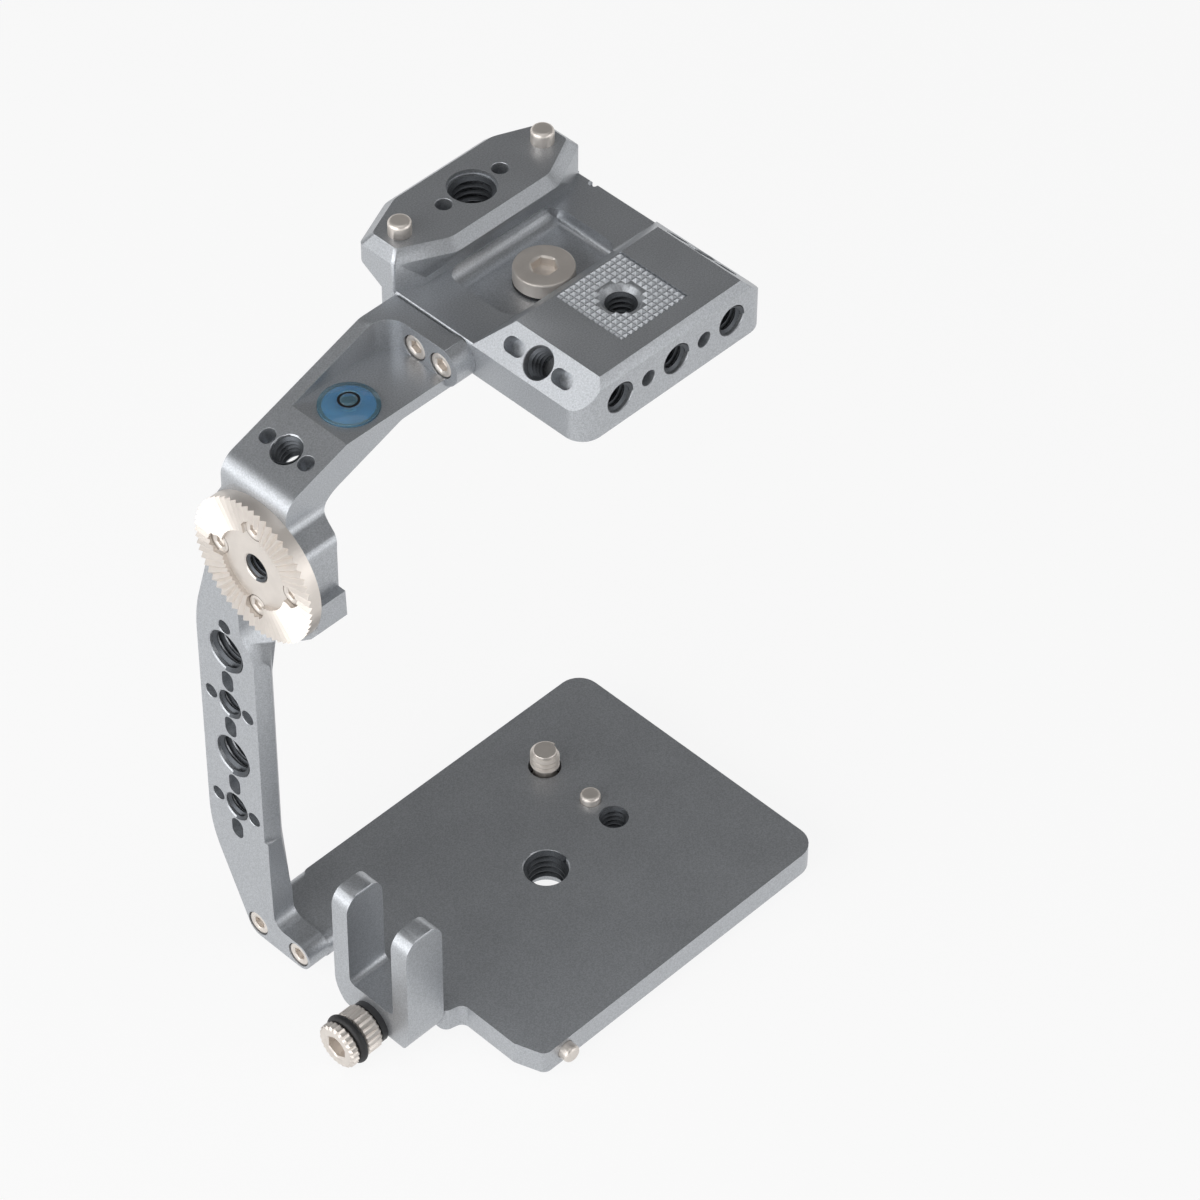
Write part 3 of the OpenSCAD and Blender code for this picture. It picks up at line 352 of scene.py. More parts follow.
def polished(node, name, slot, body, degrees=30):
    """A CAD node's own shape with smooth curved faces."""
    piece = node_copy(node, name)
    smooth(piece, degrees)
    dress(piece, slot, body, node)


def ring_points(radius):
    angles = [TURN * i / FACETS for i in range(FACETS)]
    return [(radius * math.cos(angle), radius * math.sin(angle)) for angle in angles]


def hex_points(across):
    """Points round a hexagon, as many on each side, at the same angles as a circle's points."""
    points = []
    for i in range(FACETS):
        angle = TURN * i / FACETS
        turn = angle % (TURN / 6) - TURN / 12
        radius = across / 2 / math.cos(turn)
        points.append((radius * math.cos(angle), radius * math.sin(angle)))
    return points


def stacked(name, rings):
    """A closed solid through rings of points, each given as (points or radius in mm, height in mm)."""
    shape = bmesh.new()
    loops = []
    for outline, height in rings:
        points = ring_points(outline) if isinstance(outline, (int, float)) else outline
        loops.append([shape.verts.new((x * MM, y * MM, height * MM)) for x, y in points])
    for low, high in zip(loops, loops[1:]):
        for i in range(FACETS):
            j = (i + 1) % FACETS
            shape.faces.new((low[i], low[j], high[j], high[i]))
    shape.faces.new(list(reversed(loops[0])))
    shape.faces.new(loops[-1])
    bmesh.ops.recalc_face_normals(shape, faces=shape.faces)
    return mesh_of(name, shape)


def drilled(piece, radius, low, high):
    """Cuts a round hole along Z, from low to high, all in mm."""
    drill = new_object("drill", stacked("drill", [(radius, low), (radius, high)]))
    cut = piece.modifiers.new("cut", "BOOLEAN")
    cut.operation = "DIFFERENCE"
    cut.solver = "EXACT"
    cut.object = drill
    settle(piece)
    bpy.data.objects.remove(drill)


def socket_head(name, head_d, head_h, edge, across, depth, shank_d, shank_l, dish=0.0):
    """A socket screw in mm, head up from z = 0, with a rounded rim and a countersunk hex socket."""
    head_r, socket_r, shank_r = head_d / 2, across / 2, shank_d / 2
    lead = 0.18
    sink_r, sink_h, lip_w, lip_h = socket_r + 0.5, 0.28, 0.12, 0.02
    shoulder, corner = edge / 3, edge * 0.3
    face, floor, socket = head_h - dish, head_h - depth, hex_points(across)
    # From the shank's end up to the head, round its rim, and down the socket to its drill point
    return stacked(name, [
        (shank_r - lead, -shank_l), (shank_r, -shank_l + lead), (shank_r, 0),
        (head_r - shoulder, 0), (head_r, shoulder),
        (head_r, head_h - edge), (head_r - corner, head_h - corner), (head_r - edge, head_h),
        (sink_r + lip_w, face), (sink_r, face - lip_h),
        (socket, face - sink_h), (socket, floor),
        (socket_r / 2, floor - 0.25), (0.05, floor - 0.4),
    ])


# Geometry Nodes


def node_tree(name, sockets):
    """An empty Geometry Nodes tree with named inputs. Each socket is (name, type, default)."""
    tree = bpy.data.node_groups.new(name, "GeometryNodeTree")
    tree.interface.new_socket(name="Geometry", in_out="INPUT", socket_type="NodeSocketGeometry")
    for label, kind, default in sockets:
        socket = tree.interface.new_socket(name=label, in_out="INPUT", socket_type=kind)
        if default is not None:
            socket.default_value = default
    tree.interface.new_socket(name="Geometry", in_out="OUTPUT", socket_type="NodeSocketGeometry")
    return tree, add(tree, "NodeGroupInput").outputs


def finish_tree(tree, geometry, finish):
    """Ends a tree in Realize Instances and Set Material."""
    real = add(tree, "GeometryNodeRealizeInstances", {"Geometry": geometry}).outputs[0]
    coated = add(tree, "GeometryNodeSetMaterial", {"Geometry": real, "Material": finish}).outputs[0]
    add(tree, "NodeGroupOutput", {"Geometry": coated})


def run_tree(piece, tree, values):
    """Puts the tree on the piece, sets its inputs by identifier, and keeps the result as a plain mesh."""
    modifier = piece.modifiers.new(tree.name, "NODES")
    modifier.node_group = tree
    for item in tree.interface.items_tree:
        if item.item_type == "SOCKET" and item.in_out == "INPUT" and item.name in values:
            modifier[item.identifier] = values[item.name]
    settle(piece)


def placed(tree, points, thing):
    """The thing at each of the points, turned to the point's "inward" direction."""
    inward = add(tree, "GeometryNodeInputNamedAttribute", {
        "Name": "inward"}, data_type="FLOAT_VECTOR").outputs[0]
    turned = add(tree, "FunctionNodeAlignRotationToVector", {"Vector": inward}, axis="Z").outputs[0]
    return add(tree, "GeometryNodeInstanceOnPoints", {
        "Points": points, "Instance": thing, "Rotation": turned}).outputs[0]


def thread_tree():
    """A helical ridge of a thread at each point, running in along the point's "inward" direction."""
    tree = bpy.data.node_groups.get("Thread ridge")
    if tree is not None:
        return tree
    tree, given = node_tree("Thread ridge", [
        ("Wall radius", "NodeSocketFloat", 3.175 * MM), ("Tip radius", "NodeSocketFloat", 2.6 * MM),
        ("Pitch", "NodeSocketFloat", 1.27 * MM), ("Depth", "NodeSocketFloat", 7 * MM),
        ("Material", "NodeSocketMaterial", None),
    ])
    turns = add(tree, "ShaderNodeMath", {0: given["Depth"], 1: given["Pitch"]}, operation="DIVIDE").outputs[0]
    wire = add(tree, "GeometryNodeCurveSpiral", {
        "Resolution": 28, "Rotations": turns, "Start Radius": given["Wall radius"],
        "End Radius": given["Wall radius"], "Height": given["Depth"],
    }).outputs[0]
    wire = add(tree, "GeometryNodeSetCurveNormal", {"Curve": wire}, mode="Z_UP").outputs[0]
    rise = add(tree, "ShaderNodeMath", {
        0: given["Wall radius"], 1: given["Tip radius"]}, operation="SUBTRACT").outputs[0]
    # The ridge's section: its foot is a little inside the wall. Half widths are shares of the pitch.
    foot, crest = 0.42, 0.06
    sunk = add(tree, "ShaderNodeMath", {0: rise, 1: -0.06}, operation="MULTIPLY").outputs[0]
    section = {}
    for i, (out, share) in enumerate(((sunk, -foot), (sunk, foot), (rise, crest), (rise, -crest))):
        along = add(tree, "ShaderNodeMath", {0: given["Pitch"], 1: share}, operation="MULTIPLY").outputs[0]
        section[f"Point {i + 1}"] = add(tree, "ShaderNodeCombineXYZ", {"X": out, "Y": along}).outputs[0]
    profile = add(tree, "GeometryNodeCurvePrimitiveQuadrilateral", section, mode="POINTS").outputs[0]
    ridge = add(tree, "GeometryNodeCurveToMesh", {
        "Curve": wire, "Profile Curve": profile, "Fill Caps": True}).outputs[0]
    finish_tree(tree, placed(tree, given["Geometry"], ridge), given["Material"])
    return tree


def spot_tree():
    """The piece's own mesh, repeated at the points of a second object and turned to their directions."""
    tree = bpy.data.node_groups.get("Repeat at spots")
    if tree is not None:
        return tree
    tree, given = node_tree("Repeat at spots", [
        ("Spots", "NodeSocketObject", None), ("Material", "NodeSocketMaterial", None)])
    points = add(tree, "GeometryNodeObjectInfo", {"Object": given["Spots"]}).outputs["Geometry"]
    finish_tree(tree, placed(tree, points, given["Geometry"]), given["Material"])
    return tree


def knurl_tree():
    """Rows of small pyramids on a square, left out inside a radius round its centre."""
    tree, given = node_tree("Knurled square", [
        ("Side", "NodeSocketFloat", 17.8 * MM), ("Height", "NodeSocketFloat", 0.6 * MM),
        ("Rows", "NodeSocketInt", 13), ("Clear radius", "NodeSocketFloat", 4 * MM),
        ("Material", "NodeSocketMaterial", None),
    ])
    step = add(tree, "ShaderNodeMath", {0: given["Side"], 1: given["Rows"]}, operation="DIVIDE").outputs[0]
    across = add(tree, "ShaderNodeMath", {0: given["Side"], 1: step}, operation="SUBTRACT").outputs[0]
    sheet = add(tree, "GeometryNodeMeshGrid", {
        "Size X": across, "Size Y": across, "Vertices X": given["Rows"], "Vertices Y": given["Rows"],
    }).outputs[0]
    place = add(tree, "GeometryNodeInputPosition").outputs[0]
    away = add(tree, "ShaderNodeVectorMath", {0: place}, operation="LENGTH").outputs["Value"]
    near = add(tree, "FunctionNodeCompare", {
        0: away, 1: given["Clear radius"]}, operation="LESS_THAN").outputs[0]
    kept = add(tree, "GeometryNodeDeleteGeometry", {
        "Geometry": sheet, "Selection": near}, domain="POINT").outputs[0]
    # The pyramids cover 0.98 of each step, so that none touches the next
    corner = add(tree, "ShaderNodeMath", {0: step, 1: 0.98 * math.sqrt(0.5)}, operation="MULTIPLY").outputs[0]
    flat_top = add(tree, "ShaderNodeMath", {0: step, 1: 0.07}, operation="MULTIPLY").outputs[0]
    pyramid = add(tree, "GeometryNodeMeshCone", {
        "Vertices": 4, "Radius Top": flat_top, "Radius Bottom": corner, "Depth": given["Height"]}).outputs[0]
    square = add(tree, "FunctionNodeEulerToRotation", {"Euler": Euler((0, 0, math.radians(45)))}).outputs[0]
    pyramids = add(tree, "GeometryNodeInstanceOnPoints", {
        "Points": kept, "Instance": pyramid, "Rotation": square}).outputs[0]
    finish_tree(tree, pyramids, given["Material"])
    return tree


def ridged_tree():
    """A disc along Z with ridges round it and a chamfer at each end."""
    tree = bpy.data.node_groups.get("Ridged disc")
    if tree is not None:
        return tree
    tree, given = node_tree("Ridged disc", [
        ("Radius", "NodeSocketFloat", 5.1 * MM), ("Depth", "NodeSocketFloat", 0.4 * MM),
        ("Ridges", "NodeSocketInt", 24), ("From", "NodeSocketFloat", 0.0), ("To", "NodeSocketFloat", 3 * MM),
        ("Chamfer", "NodeSocketFloat", 0.4 * MM), ("Chamfer radius share", "NodeSocketFloat", 0.92),
        ("Material", "NodeSocketMaterial", None),
    ])
    # The outline: a circle of eight points to a ridge, drawn in towards the centre between the ridges
    points = add(tree, "ShaderNodeMath", {0: given["Ridges"], 1: 8.0}, operation="MULTIPLY").outputs[0]
    circle = add(tree, "GeometryNodeCurvePrimitiveCircle", {
        "Resolution": points, "Radius": 1.0}).outputs["Curve"]
    place = add(tree, "GeometryNodeInputPosition").outputs[0]
    parts = add(tree, "ShaderNodeSeparateXYZ", {"Vector": place}).outputs
    angle = add(tree, "ShaderNodeMath", {0: parts["Y"], 1: parts["X"]}, operation="ARCTAN2").outputs[0]
    halves = add(tree, "ShaderNodeMath", {0: given["Ridges"], 1: 0.5}, operation="MULTIPLY").outputs[0]
    phase = add(tree, "ShaderNodeMath", {0: angle, 1: halves}, operation="MULTIPLY").outputs[0]
    wave = add(tree, "ShaderNodeMath", {0: phase}, operation="COSINE").outputs[0]
    dip = add(tree, "ShaderNodeMath", {0: wave}, operation="ABSOLUTE").outputs[0]
    sink = add(tree, "ShaderNodeMath", {0: dip, 1: given["Depth"]}, operation="MULTIPLY").outputs[0]
    radius = add(tree, "ShaderNodeMath", {0: given["Radius"], 1: sink}, operation="SUBTRACT").outputs[0]
    spot = add(tree, "ShaderNodeVectorMath", {0: place, "Scale": radius}, operation="SCALE").outputs[0]
    outline = add(tree, "GeometryNodeSetPosition", {"Geometry": circle, "Position": spot}).outputs[0]
    # The line that it follows: four points, and the outline is narrower at the first and the last
    low_in = add(tree, "ShaderNodeMath", {0: given["From"], 1: given["Chamfer"]}, operation="ADD").outputs[0]
    high_in = add(tree, "ShaderNodeMath", {
        0: given["To"], 1: given["Chamfer"]}, operation="SUBTRACT").outputs[0]
    narrow = given["Chamfer radius share"]
    line = add(tree, "GeometryNodeCurvePrimitiveLine").outputs[0]
    line = add(tree, "GeometryNodeResampleCurve", {"Curve": line, "Count": 4}).outputs[0]
    index = add(tree, "GeometryNodeInputIndex").outputs[0]
    height, width = given["From"], narrow
    for i, (next_height, next_width) in enumerate(((low_in, 1.0), (high_in, 1.0), (given["To"], narrow)), 1):
        past = add(tree, "FunctionNodeCompare", {
            2: index, 3: i}, data_type="INT", operation="GREATER_EQUAL").outputs[0]
        height = add(tree, "GeometryNodeSwitch", {
            "Switch": past, "False": height, "True": next_height}, input_type="FLOAT").outputs[0]
        width = add(tree, "GeometryNodeSwitch", {
            "Switch": past, "False": width, "True": next_width}, input_type="FLOAT").outputs[0]
    up = add(tree, "ShaderNodeCombineXYZ", {"Z": height}).outputs[0]
    line = add(tree, "GeometryNodeSetPosition", {"Geometry": line, "Position": up}).outputs[0]
    solid = add(tree, "GeometryNodeCurveToMesh", {
        "Curve": line, "Profile Curve": outline, "Scale": width, "Fill Caps": True}).outputs[0]
    finish_tree(tree, solid, given["Material"])
    return tree


def spots(name, places):
    """An object whose vertices are the places, in mm, each with its "inward" direction."""
    mesh = bpy.data.meshes.new(name)
    mesh.from_pydata([[c * MM for c in place] for place, _ in places], [], [])
    inward = mesh.attributes.new("inward", "FLOAT_VECTOR", "POINT")
    for item, (_, direction) in zip(inward.data, places):
        item.vector = Vector(direction).normalized()
    return new_object(name, mesh)


def joined(name, pieces):
    """One object from several, all with their place in their mesh."""
    shape = bmesh.new()
    for piece in pieces:
        shape.from_mesh(piece.data)
        bpy.data.objects.remove(piece)
    return new_object(name, mesh_of(name, shape))


def thread(name, places, depth, wall, tip, pitch, finish="tapped_painted_shade"):
    """Thread ridges at the places, as one plain piece. Lengths in mm, the pitch in metres."""
    # By default the ridges take the tapped finish, whose darker colour is painted shade
    piece = spots(name, places)
    run_tree(piece, thread_tree(), {
        "Wall radius": wall * MM, "Tip radius": tip * MM, "Pitch": pitch, "Depth": depth * MM,
        "Material": material(*FINISHES[finish])})
    shape = bmesh.new()
    shape.from_mesh(piece.data)
    bmesh.ops.recalc_face_normals(shape, faces=shape.faces)
    shape.to_mesh(piece.data)
    shape.free()
    return piece


def repeated(name, mesh, places):
    """Copies of a steel mesh at the places, as one plain piece."""
    piece = new_object(name, mesh)
    marks = spots(name + "_spots", places)
    run_tree(piece, spot_tree(), {"Spots": marks, "Material": material(*FINISHES["steel"])})
    bpy.data.objects.remove(marks)
    return piece


# Places and sizes, in millimetres, from the solids

LEFT, RIGHT, FORWARD, UP, DOWN = (-1, 0, 0), (1, 0, 0), (0, 1, 0), (0, 0, 1), (0, 0, -1)
LEG_X, LEG_HOLES_Y = -70.9, 37.1
ROSETTE_Y, ROSETTE_Z = 24.1, 117.3
SCREW_Y = 20.4
LEVEL_X, LEVEL_Y = -47.4, 24.6
KNOB_X, KNOB_Y, KNOB_Z = -73.4, -2.3, 6.45
PAD_SLOPE = math.radians(19.5)
PAD_DOWN = (math.sin(PAD_SLOPE), 0, -math.cos(PAD_SLOPE))

# Radius of the hole's wall and of the thread's tip
QUARTER_R, QUARTER_TIP = 3.175, 2.55
THREE_R, THREE_TIP = 4.7625, 3.95
CENTRE_R, CENTRE_TIP, CENTRE_PITCH = 3.0, 2.5, 1.0

# The threaded length, and where it starts and which way it runs
QUARTER_HOLES = [
    (11.0, [((0, 0, 153.2), DOWN)]),
    (6.5, [((x, -14.3, 148.4), FORWARD) for x in (-15, 0, 15)]),
    (6.0, [((side * 21.2, 0, 151.4), (-side, 0, -1)) for side in (-1, 1)]),
    (6.8, [((-61.9, 26.05, 139.1), PAD_DOWN)]),
    (4.9, [((LEG_X + 0.25, LEG_HOLES_Y, z), RIGHT) for z in (68.9, 39.1)]),
    (8.2, [((0, 0, 0.75), UP)]),
]
THREE_HOLES = [
    (14.4, [((0, 39.9, 156.7), DOWN)]),
    (4.9, [((LEG_X + 0.25, LEG_HOLES_Y, z), RIGHT) for z in (83.8, 54.0)]),
    (8.0, [((-20, 0, 0.95), UP)]),
]

# Socket screws: the head's diameter, height and rim, the socket's width and depth, and the shank's diameter
LARGE_HEAD = (5.4, 2.4, 0.45, 2.6, 1.5, 3.0)
SMALL_HEAD = (4.5, 1.3, 0.25, 2.2, 0.85, 2.5)
# The node, its head, its shank's length, and the places
JOIN_SCREWS = [
    ("arm_screws", LARGE_HEAD, 7.2, [((-27.15, y, 144.6), LEFT) for y in (18.2, 25.2)]),
    ("foot_screws", LARGE_HEAD, 9.8, [((-68.35, y, 6.9), LEFT) for y in (20.6, 32.6)]),
    ("rosette_screws", SMALL_HEAD, 4.1, [
        ((-71.7, ROSETTE_Y + y, ROSETTE_Z + z), LEFT)
        for y, z in ((9.9, 0), (0, 9.9), (-9.9, 0), (0, -9.9))]),
    ("shelf_screws", SMALL_HEAD, 13.1, [((-67.15, ROSETTE_Y + y, 107.8), DOWN) for y in (-5.2, 5.2)]),
]

# Both captive screws: the head, its dished face, the neck behind the thread, and the thread with its lead-in
CAPTIVE_HEAD_D, CAPTIVE_DISH, CAPTIVE_SOCKET = 12.3, 0.12, 4.7
CAPTIVE_NECK_D, CAPTIVE_THREAD, CAPTIVE_LEAD = 5.0, 4.7, 0.55
# The node, its body, the head's height and rim, the socket's depth, the shank's length, the thread's
# outer diameter, and the place
CAPTIVE_SCREWS = [
    ("top_screw", "top_screw_body", 3.4, 0.55, 2.2, 9.6, 6.21, moved(0, SCREW_Y, 146.55)),
    ("camera_screw", "camera_screw_body", 2.2, 0.4, 1.4, 9.35, 6.28,
     moved(0, SCREW_Y, 5.05) @ Matrix.Rotation(math.pi, 4, "X")),
]


class PieceOperator:
    bl_options = {"REGISTER", "UNDO"}


class CAGE_OT_top_plate(PieceOperator, bpy.types.Operator):
    """Finish the top plate's edges"""

    bl_idname = "cage.top_plate"
    bl_label = "Top plate"

    def execute(self, context):
        plate("top_plate", sizes().plate_edge)
        return {"FINISHED"}


class CAGE_OT_arm(PieceOperator, bpy.types.Operator):
    """Finish the arm's edges"""

    bl_idname = "cage.arm"
    bl_label = "Arm"

    def execute(self, context):
        plate("arm", sizes().plate_edge)
        return {"FINISHED"}


class CAGE_OT_side_plate(PieceOperator, bpy.types.Operator):
    """Finish the side plate's edges"""

    bl_idname = "cage.side_plate"
    bl_label = "Side plate"

    def execute(self, context):
        # The smaller angle keeps its nearly flat facets apart, and they have room for a fine chamfer only
        plate("side_plate", sizes().side_edge, flat_degrees=0.05)
        return {"FINISHED"}


class CAGE_OT_base_plate(PieceOperator, bpy.types.Operator):
    """Finish the base plate's edges"""

    bl_idname = "cage.base_plate"
    bl_label = "Base plate"

    def execute(self, context):
        plate("base_plate", sizes().plate_edge)
        return {"FINISHED"}


class CAGE_OT_cable_clamp(PieceOperator, bpy.types.Operator):
    """Finish the cable clamp with its broad chamfers, and its washer"""

    bl_idname = "cage.cable_clamp"
    bl_label = "Cable clamp"

    def execute(self, context):
        plate("cable_clamp", sizes().clamp_edge, "clamp")
        polished("clamp_washer", "clamp_washer_ring", "washer", "clamp")
        return {"FINISHED"}


class CAGE_OT_rosette(PieceOperator, bpy.types.Operator):
    """Finish the toothed rosette"""

    bl_idname = "cage.rosette"
    bl_label = "Rosette"

    def execute(self, context):
        polished("rosette", "rosette_body", "steel", "frame", 20)
        return {"FINISHED"}


class CAGE_OT_threads(PieceOperator, bpy.types.Operator):
    """Cut the threads of the mounting holes and of the rosette's centre"""

    bl_idname = "cage.threads"
    bl_label = "Threads"

    def execute(self, context):
        made = [
            thread("quarter", places, depth, QUARTER_R, QUARTER_TIP, sizes().quarter_pitch)
            for depth, places in QUARTER_HOLES]
        made += [
            thread("three", places, depth, THREE_R, THREE_TIP, sizes().three_pitch)
            for depth, places in THREE_HOLES]
        holes = joined("hole_threads", made)
        centre = thread(
            "rosette_thread", [((LEG_X - 1.8, ROSETTE_Y, ROSETTE_Z), RIGHT)], 8.8,
            CENTRE_R, CENTRE_TIP, CENTRE_PITCH * MM)
        for piece in (holes, centre):
            smooth(piece, 25)
            # The thread ridges take the tapped finish: the anodised aluminium darkened as painted shade
            # inside the holes
            dress(piece, "anodised", "frame", finish="tapped_painted_shade")
        return {"FINISHED"}


class CAGE_OT_knurling(PieceOperator, bpy.types.Operator):
    """Knurl the square on the platform"""

    bl_idname = "cage.knurling"
    bl_label = "Knurled square"

    def execute(self, context):
        side, depth, deck, clear = 17.8, 0.6, 155.1, 4.55
        piece = new_object("platform_knurling", bpy.data.meshes.new("platform_knurling"))
        run_tree(piece, knurl_tree(), {
            "Side": side * MM, "Height": depth * MM, "Rows": sizes().knurl_rows, "Clear radius": clear * MM,
            "Material": material(*FINISHES["anodised"])})
        piece.data.transform(moved(0, 0, deck - depth))
        dress(piece, "anodised", "frame")
        return {"FINISHED"}


class CAGE_OT_join_screws(PieceOperator, bpy.types.Operator):
    """Make the screws that join the plates"""

    bl_idname = "cage.join_screws"
    bl_label = "Joining screws"

    def execute(self, context):
        for node, head, shank_l, places in JOIN_SCREWS:
            piece = repeated(node + "_set", socket_head(node, *head, shank_l), places)
            smooth(piece)
            dress(piece, "steel", "frame", node)
        return {"FINISHED"}


class CAGE_OT_captive_screws(PieceOperator, bpy.types.Operator):
    """Make the two captive camera screws and their washers"""

    bl_idname = "cage.captive_screws"
    bl_label = "Captive screws"

    def execute(self, context):
        for node, body, head_h, edge, depth, shank_l, major, place in CAPTIVE_SCREWS:
            name = node + "_turned"
            core = new_object(name + "_core", socket_head(
                node, CAPTIVE_HEAD_D, head_h, edge, CAPTIVE_SOCKET, depth, CAPTIVE_NECK_D, shank_l,
                CAPTIVE_DISH))
            start = CAPTIVE_LEAD - shank_l
            ridge = thread(
                name + "_ridge", [((0, 0, start), UP)], CAPTIVE_THREAD - shank_l - start,
                CAPTIVE_NECK_D / 2, major / 2, sizes().quarter_pitch, "steel")
            piece = joined(name, [core, ridge])
            piece.data.transform(place)
            smooth(piece)
            dress(piece, "steel", body, node)
        for node in ("top_screw", "camera_screw"):
            polished(node + "_washer", node + "_washer_ring", "washer", node + "_carrier")
        return {"FINISHED"}


class CAGE_OT_pins(PieceOperator, bpy.types.Operator):
    """Finish the locating pins, the anti-twist pin and the stop pin"""

    bl_idname = "cage.pins"
    bl_label = "Pins"

    def execute(self, context):
        for node in ("locating_pins", "anti_twist_pin", "rear_stop_pin"):
            polished(node, node + "_ground", "steel", "frame", 50)
        return {"FINISHED"}


class CAGE_OT_level(PieceOperator, bpy.types.Operator):
    """Make the bubble level: dome, spirit, ring and bubble"""

    bl_idname = "cage.level"
    bl_label = "Bubble level"

    def execute(self, context):
        polished("level_vial", "level_dome", "vial", "frame", 40)
        polished("level_liquid", "level_spirit", "liquid", "frame")
        polished("level_ring", "level_ring_print", "black", "frame")
        # The bubble is a lens that hangs in the spirit, from just above its top
        top, radius, tall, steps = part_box("level_liquid")[1][2] / MM, 2.0, 0.42, 6
        angles = [TURN / 4 * i / steps for i in range(1, steps + 1)]
        rings = [(radius * math.sin(angle), top - tall * math.cos(angle)) for angle in angles]
        bubble = new_object("level_bubble", stacked("level_bubble", rings + [(0.9 * radius, top + 0.05)]))
        bubble.data.transform(moved(LEVEL_X, LEVEL_Y, 0))
        smooth(bubble, 40)
        dress(bubble, "vial", "frame", finish="bubble")
        return {"FINISHED"}


class CAGE_OT_thumb_screw(PieceOperator, bpy.types.Operator):
    """Make the thumb screw: two ridged rings, groove, socket, thread and O-ring"""

    bl_idname = "cage.thumb_screw"
    bl_label = "Thumb screw"

    def execute(self, context):
        head_l, radius, groove_from, groove_to, groove_r = 8.6, 5.1, 4.3, 6.3, 3.7
        across, socket_l, recess_r, below = 4.6, 2.6, 3.0, 0.02
        shank_d, shank_l, thread_r, thread_l, pitch, lead = 3.3, 19.3, 1.98, 12.0, 0.7, 0.3
        rings = []
        for low, high in ((0.0, groove_from), (groove_to, head_l)):
            ring = new_object("ring", bpy.data.meshes.new("ring"))
            run_tree(ring, ridged_tree(), {
                "Radius": radius * MM, "Depth": 0.42 * MM, "Ridges": sizes().knob_ridges,
                "From": low * MM, "To": high * MM, "Chamfer": 0.45 * MM, "Chamfer radius share": 0.9,
                "Material": material(*FINISHES["steel"])})
            rings.append(ring)
        drilled(rings[1], recess_r, groove_to - 0.5, head_l + 0.5)
        core = new_object("core", socket_head(
            "core", 2 * groove_r, head_l - below, 0.1, across, socket_l, shank_d, shank_l))
        ridge = thread(
            "shank_thread", [((0, 0, lead - shank_l), UP)], thread_l,
            shank_d / 2, thread_r, pitch * MM, "steel")
        piece = joined("thumb_screw_turned", rings + [core, ridge])
        piece.data.transform(moved(KNOB_X, KNOB_Y, KNOB_Z) @ Matrix.Rotation(-math.pi / 2, 4, "Y"))
        smooth(piece)
        dress(piece, "steel", "thumb_screw", "clamp_knob")
        polished("clamp_o_ring", "thumb_screw_o_ring", "o_ring", "thumb_screw", 60)
        return {"FINISHED"}


# Studio, in metres and watts

WHITE = (1, 1, 1, 1)
# The share of plain white in the paper that the camera, metal and glass see
PAPER_GLOW = 0.88
# The white backdrop ends here, as the sine of its height above the horizon, and a dim ceiling starts
BACKDROP_TOP = 0.3
CEILING_STRENGTH = 0.15
OBJECT_CENTRE = (-0.024, 0.006, 0.08)
# Square area lamps: name, place, side and power
LAMPS = (
    ("key", (-1.2, 0.1, 0.35), 1.6, 20.0),
    ("fill", (0.4, -1.1, 0.5), 1.0, 4.0),
    ("top", (-0.1, -0.1, 1.3), 1.0, 2.5),
)


class CAGE_OT_studio(PieceOperator, bpy.types.Operator):
    """Set the floor, the lights, the world and the camera"""

    bl_idname = "cage.studio"
    bl_label = "Studio"

    def execute(self, context):
        make_floor()
        make_lamps()
        make_world()
        make_camera()
        context.scene.view_settings.view_transform = "Standard"
        return {"FINISHED"}


def build_floor(tree):
    # Matt white paper. What the camera sees of it directly, or in metal and glass, is lifted to white.
    paper = add(tree, "ShaderNodeBsdfDiffuse", {
        "Color": tones(tree, grain(tree, 40.0), colours().floor, 0.004)}).outputs[0]
    glow = add(tree, "ShaderNodeEmission", {"Color": WHITE, "Strength": 1.0}).outputs[0]
    rays = add(tree, "ShaderNodeLightPath").outputs
    seen = rays["Is Camera Ray"]
    for kind in ("Is Glossy Ray", "Is Transmission Ray"):
        seen = add(tree, "ShaderNodeMath", {0: seen, 1: rays[kind]}, operation="MAXIMUM").outputs[0]
    share = add(tree, "ShaderNodeMath", {0: seen, 1: PAPER_GLOW}, operation="MULTIPLY").outputs[0]
    return add(tree, "ShaderNodeMixShader", {0: share, 1: paper, 2: glow}).outputs[0]


def make_floor():
    """A wide sheet of paper, a hair below the underside."""
    shape = bmesh.new()
    bmesh.ops.create_grid(shape, x_segments=8, y_segments=8, size=3.0)
    floor = new_object("studio_floor", mesh_of("studio_floor", shape))
    floor.data.transform(moved(0, 0, -0.05))
    floor.data.materials.append(material("white_studio_paper", build_floor))


def make_lamps():
    """Large, soft area lamps that all point at the object."""
    for name, place, size, power in LAMPS:
        light = bpy.data.lights.new(name, "AREA")
        light.size = size
        light.energy = power
        lamp = new_object(name, light)
        lamp.location = place
        lamp.rotation_euler = (Vector(OBJECT_CENTRE) - Vector(place)).to_track_quat("-Z", "Y").to_euler()


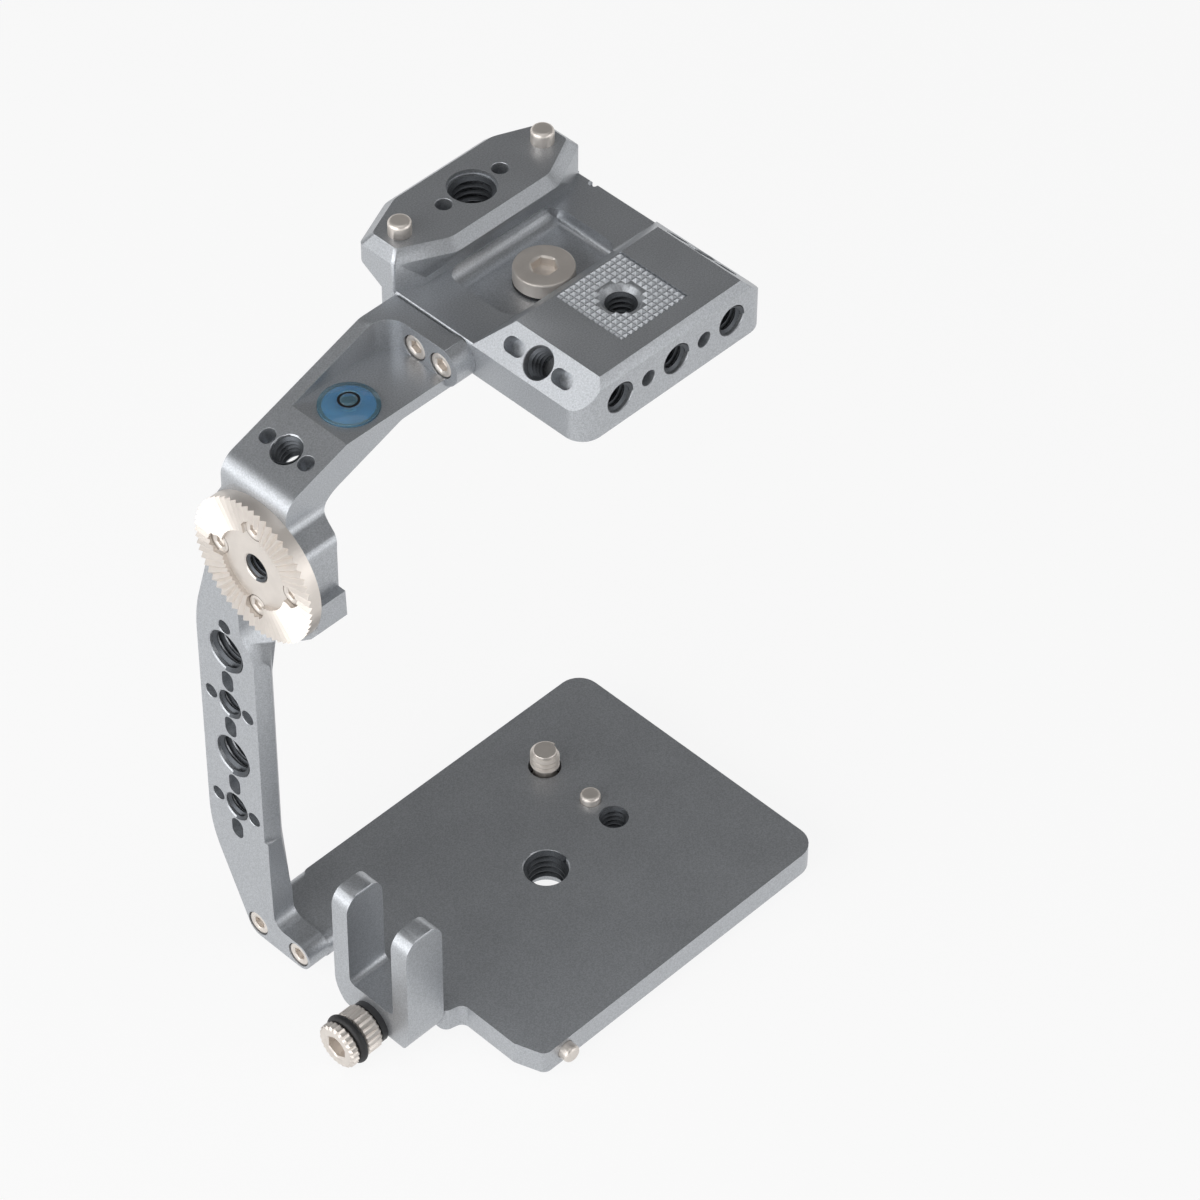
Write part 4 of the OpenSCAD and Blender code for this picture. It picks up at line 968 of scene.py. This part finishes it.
def make_world():
    """White to the camera and, up to the backdrop's top, to metal and glass. To all else it is dim."""
    world = bpy.data.worlds.new("studio")
    bpy.context.scene.world = world
    world.use_nodes = True
    tree = world.node_tree
    tree.nodes.clear()
    rays = add(tree, "ShaderNodeLightPath").outputs
    outward = add(tree, "ShaderNodeTexCoord").outputs["Generated"]
    height = add(tree, "ShaderNodeSeparateXYZ", {"Vector": outward}).outputs["Z"]
    backdrop = add(tree, "ShaderNodeMath", {0: height, 1: BACKDROP_TOP}, operation="LESS_THAN").outputs[0]
    mirrored = add(tree, "ShaderNodeMath", {
        0: rays["Is Glossy Ray"], 1: rays["Is Transmission Ray"]}, operation="MAXIMUM").outputs[0]
    mirrored = add(tree, "ShaderNodeMath", {0: mirrored, 1: backdrop}, operation="MULTIPLY").outputs[0]
    seen = add(tree, "ShaderNodeMath", {
        0: rays["Is Camera Ray"], 1: mirrored}, operation="MAXIMUM").outputs[0]
    ceiling = add(tree, "ShaderNodeBackground", {"Color": WHITE, "Strength": CEILING_STRENGTH}).outputs[0]
    white = add(tree, "ShaderNodeBackground", {"Color": WHITE, "Strength": 1.0}).outputs[0]
    sky = add(tree, "ShaderNodeMixShader", {0: seen, 1: ceiling, 2: white}).outputs[0]
    add(tree, "ShaderNodeOutputWorld", {"Surface": sky})


def make_camera():
    """The photograph's camera: a long lens, from the left rear and 45 degrees above."""
    place = (-0.487142, -0.467867, 0.757308)
    turn, rise, roll = (math.radians(d) for d in (-45.871, 45.342, -0.5866))
    back = Vector((math.sin(turn) * math.cos(rise), -math.cos(turn) * math.cos(rise), math.sin(rise)))
    pose = back.to_track_quat("Z", "Y").to_matrix().to_4x4() @ Matrix.Rotation(-roll, 4, "Z")
    lens = bpy.data.cameras.new("camera")
    lens.sensor_width = 36
    lens.lens = 144.579
    lens.clip_start, lens.clip_end = 0.01, 20
    camera = new_object("camera", lens)
    camera.matrix_world = Matrix.Translation(place) @ pose
    bpy.context.scene.camera = camera


STEPS = (
    CAGE_OT_top_plate, CAGE_OT_arm, CAGE_OT_side_plate, CAGE_OT_base_plate, CAGE_OT_cable_clamp,
    CAGE_OT_rosette, CAGE_OT_threads, CAGE_OT_knurling, CAGE_OT_join_screws, CAGE_OT_captive_screws,
    CAGE_OT_pins, CAGE_OT_level, CAGE_OT_thumb_screw, CAGE_OT_studio,
)


class CAGE_PT_panel(bpy.types.Panel):
    """Lists the sizes, the colours and the steps"""

    bl_idname = "CAGE_PT_panel"
    bl_label = "Camera cage"
    bl_space_type = "VIEW_3D"
    bl_region_type = "UI"
    bl_category = "Cage"

    def draw(self, context):
        for group in (context.scene.cage_sizes, context.scene.cage_colours):
            for name in group.bl_rna.properties.keys():
                if name not in ("rna_type", "name"):
                    self.layout.prop(group, name)
        for step in STEPS:
            self.layout.operator(step.bl_idname)


CLASSES = (CageSizes, CageColours) + STEPS + (CAGE_PT_panel,)


def register():
    for entry in CLASSES:
        bpy.utils.register_class(entry)
    bpy.types.Scene.cage_sizes = PointerProperty(type=CageSizes)
    bpy.types.Scene.cage_colours = PointerProperty(type=CageColours)


def unregister():
    del bpy.types.Scene.cage_sizes
    del bpy.types.Scene.cage_colours
    for entry in reversed(CLASSES):
        bpy.utils.unregister_class(entry)


def main():
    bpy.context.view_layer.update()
    register()
    for step in STEPS:
        group, name = step.bl_idname.split(".")
        getattr(getattr(bpy.ops, group), name)()


if __name__ == "__main__":
    main()
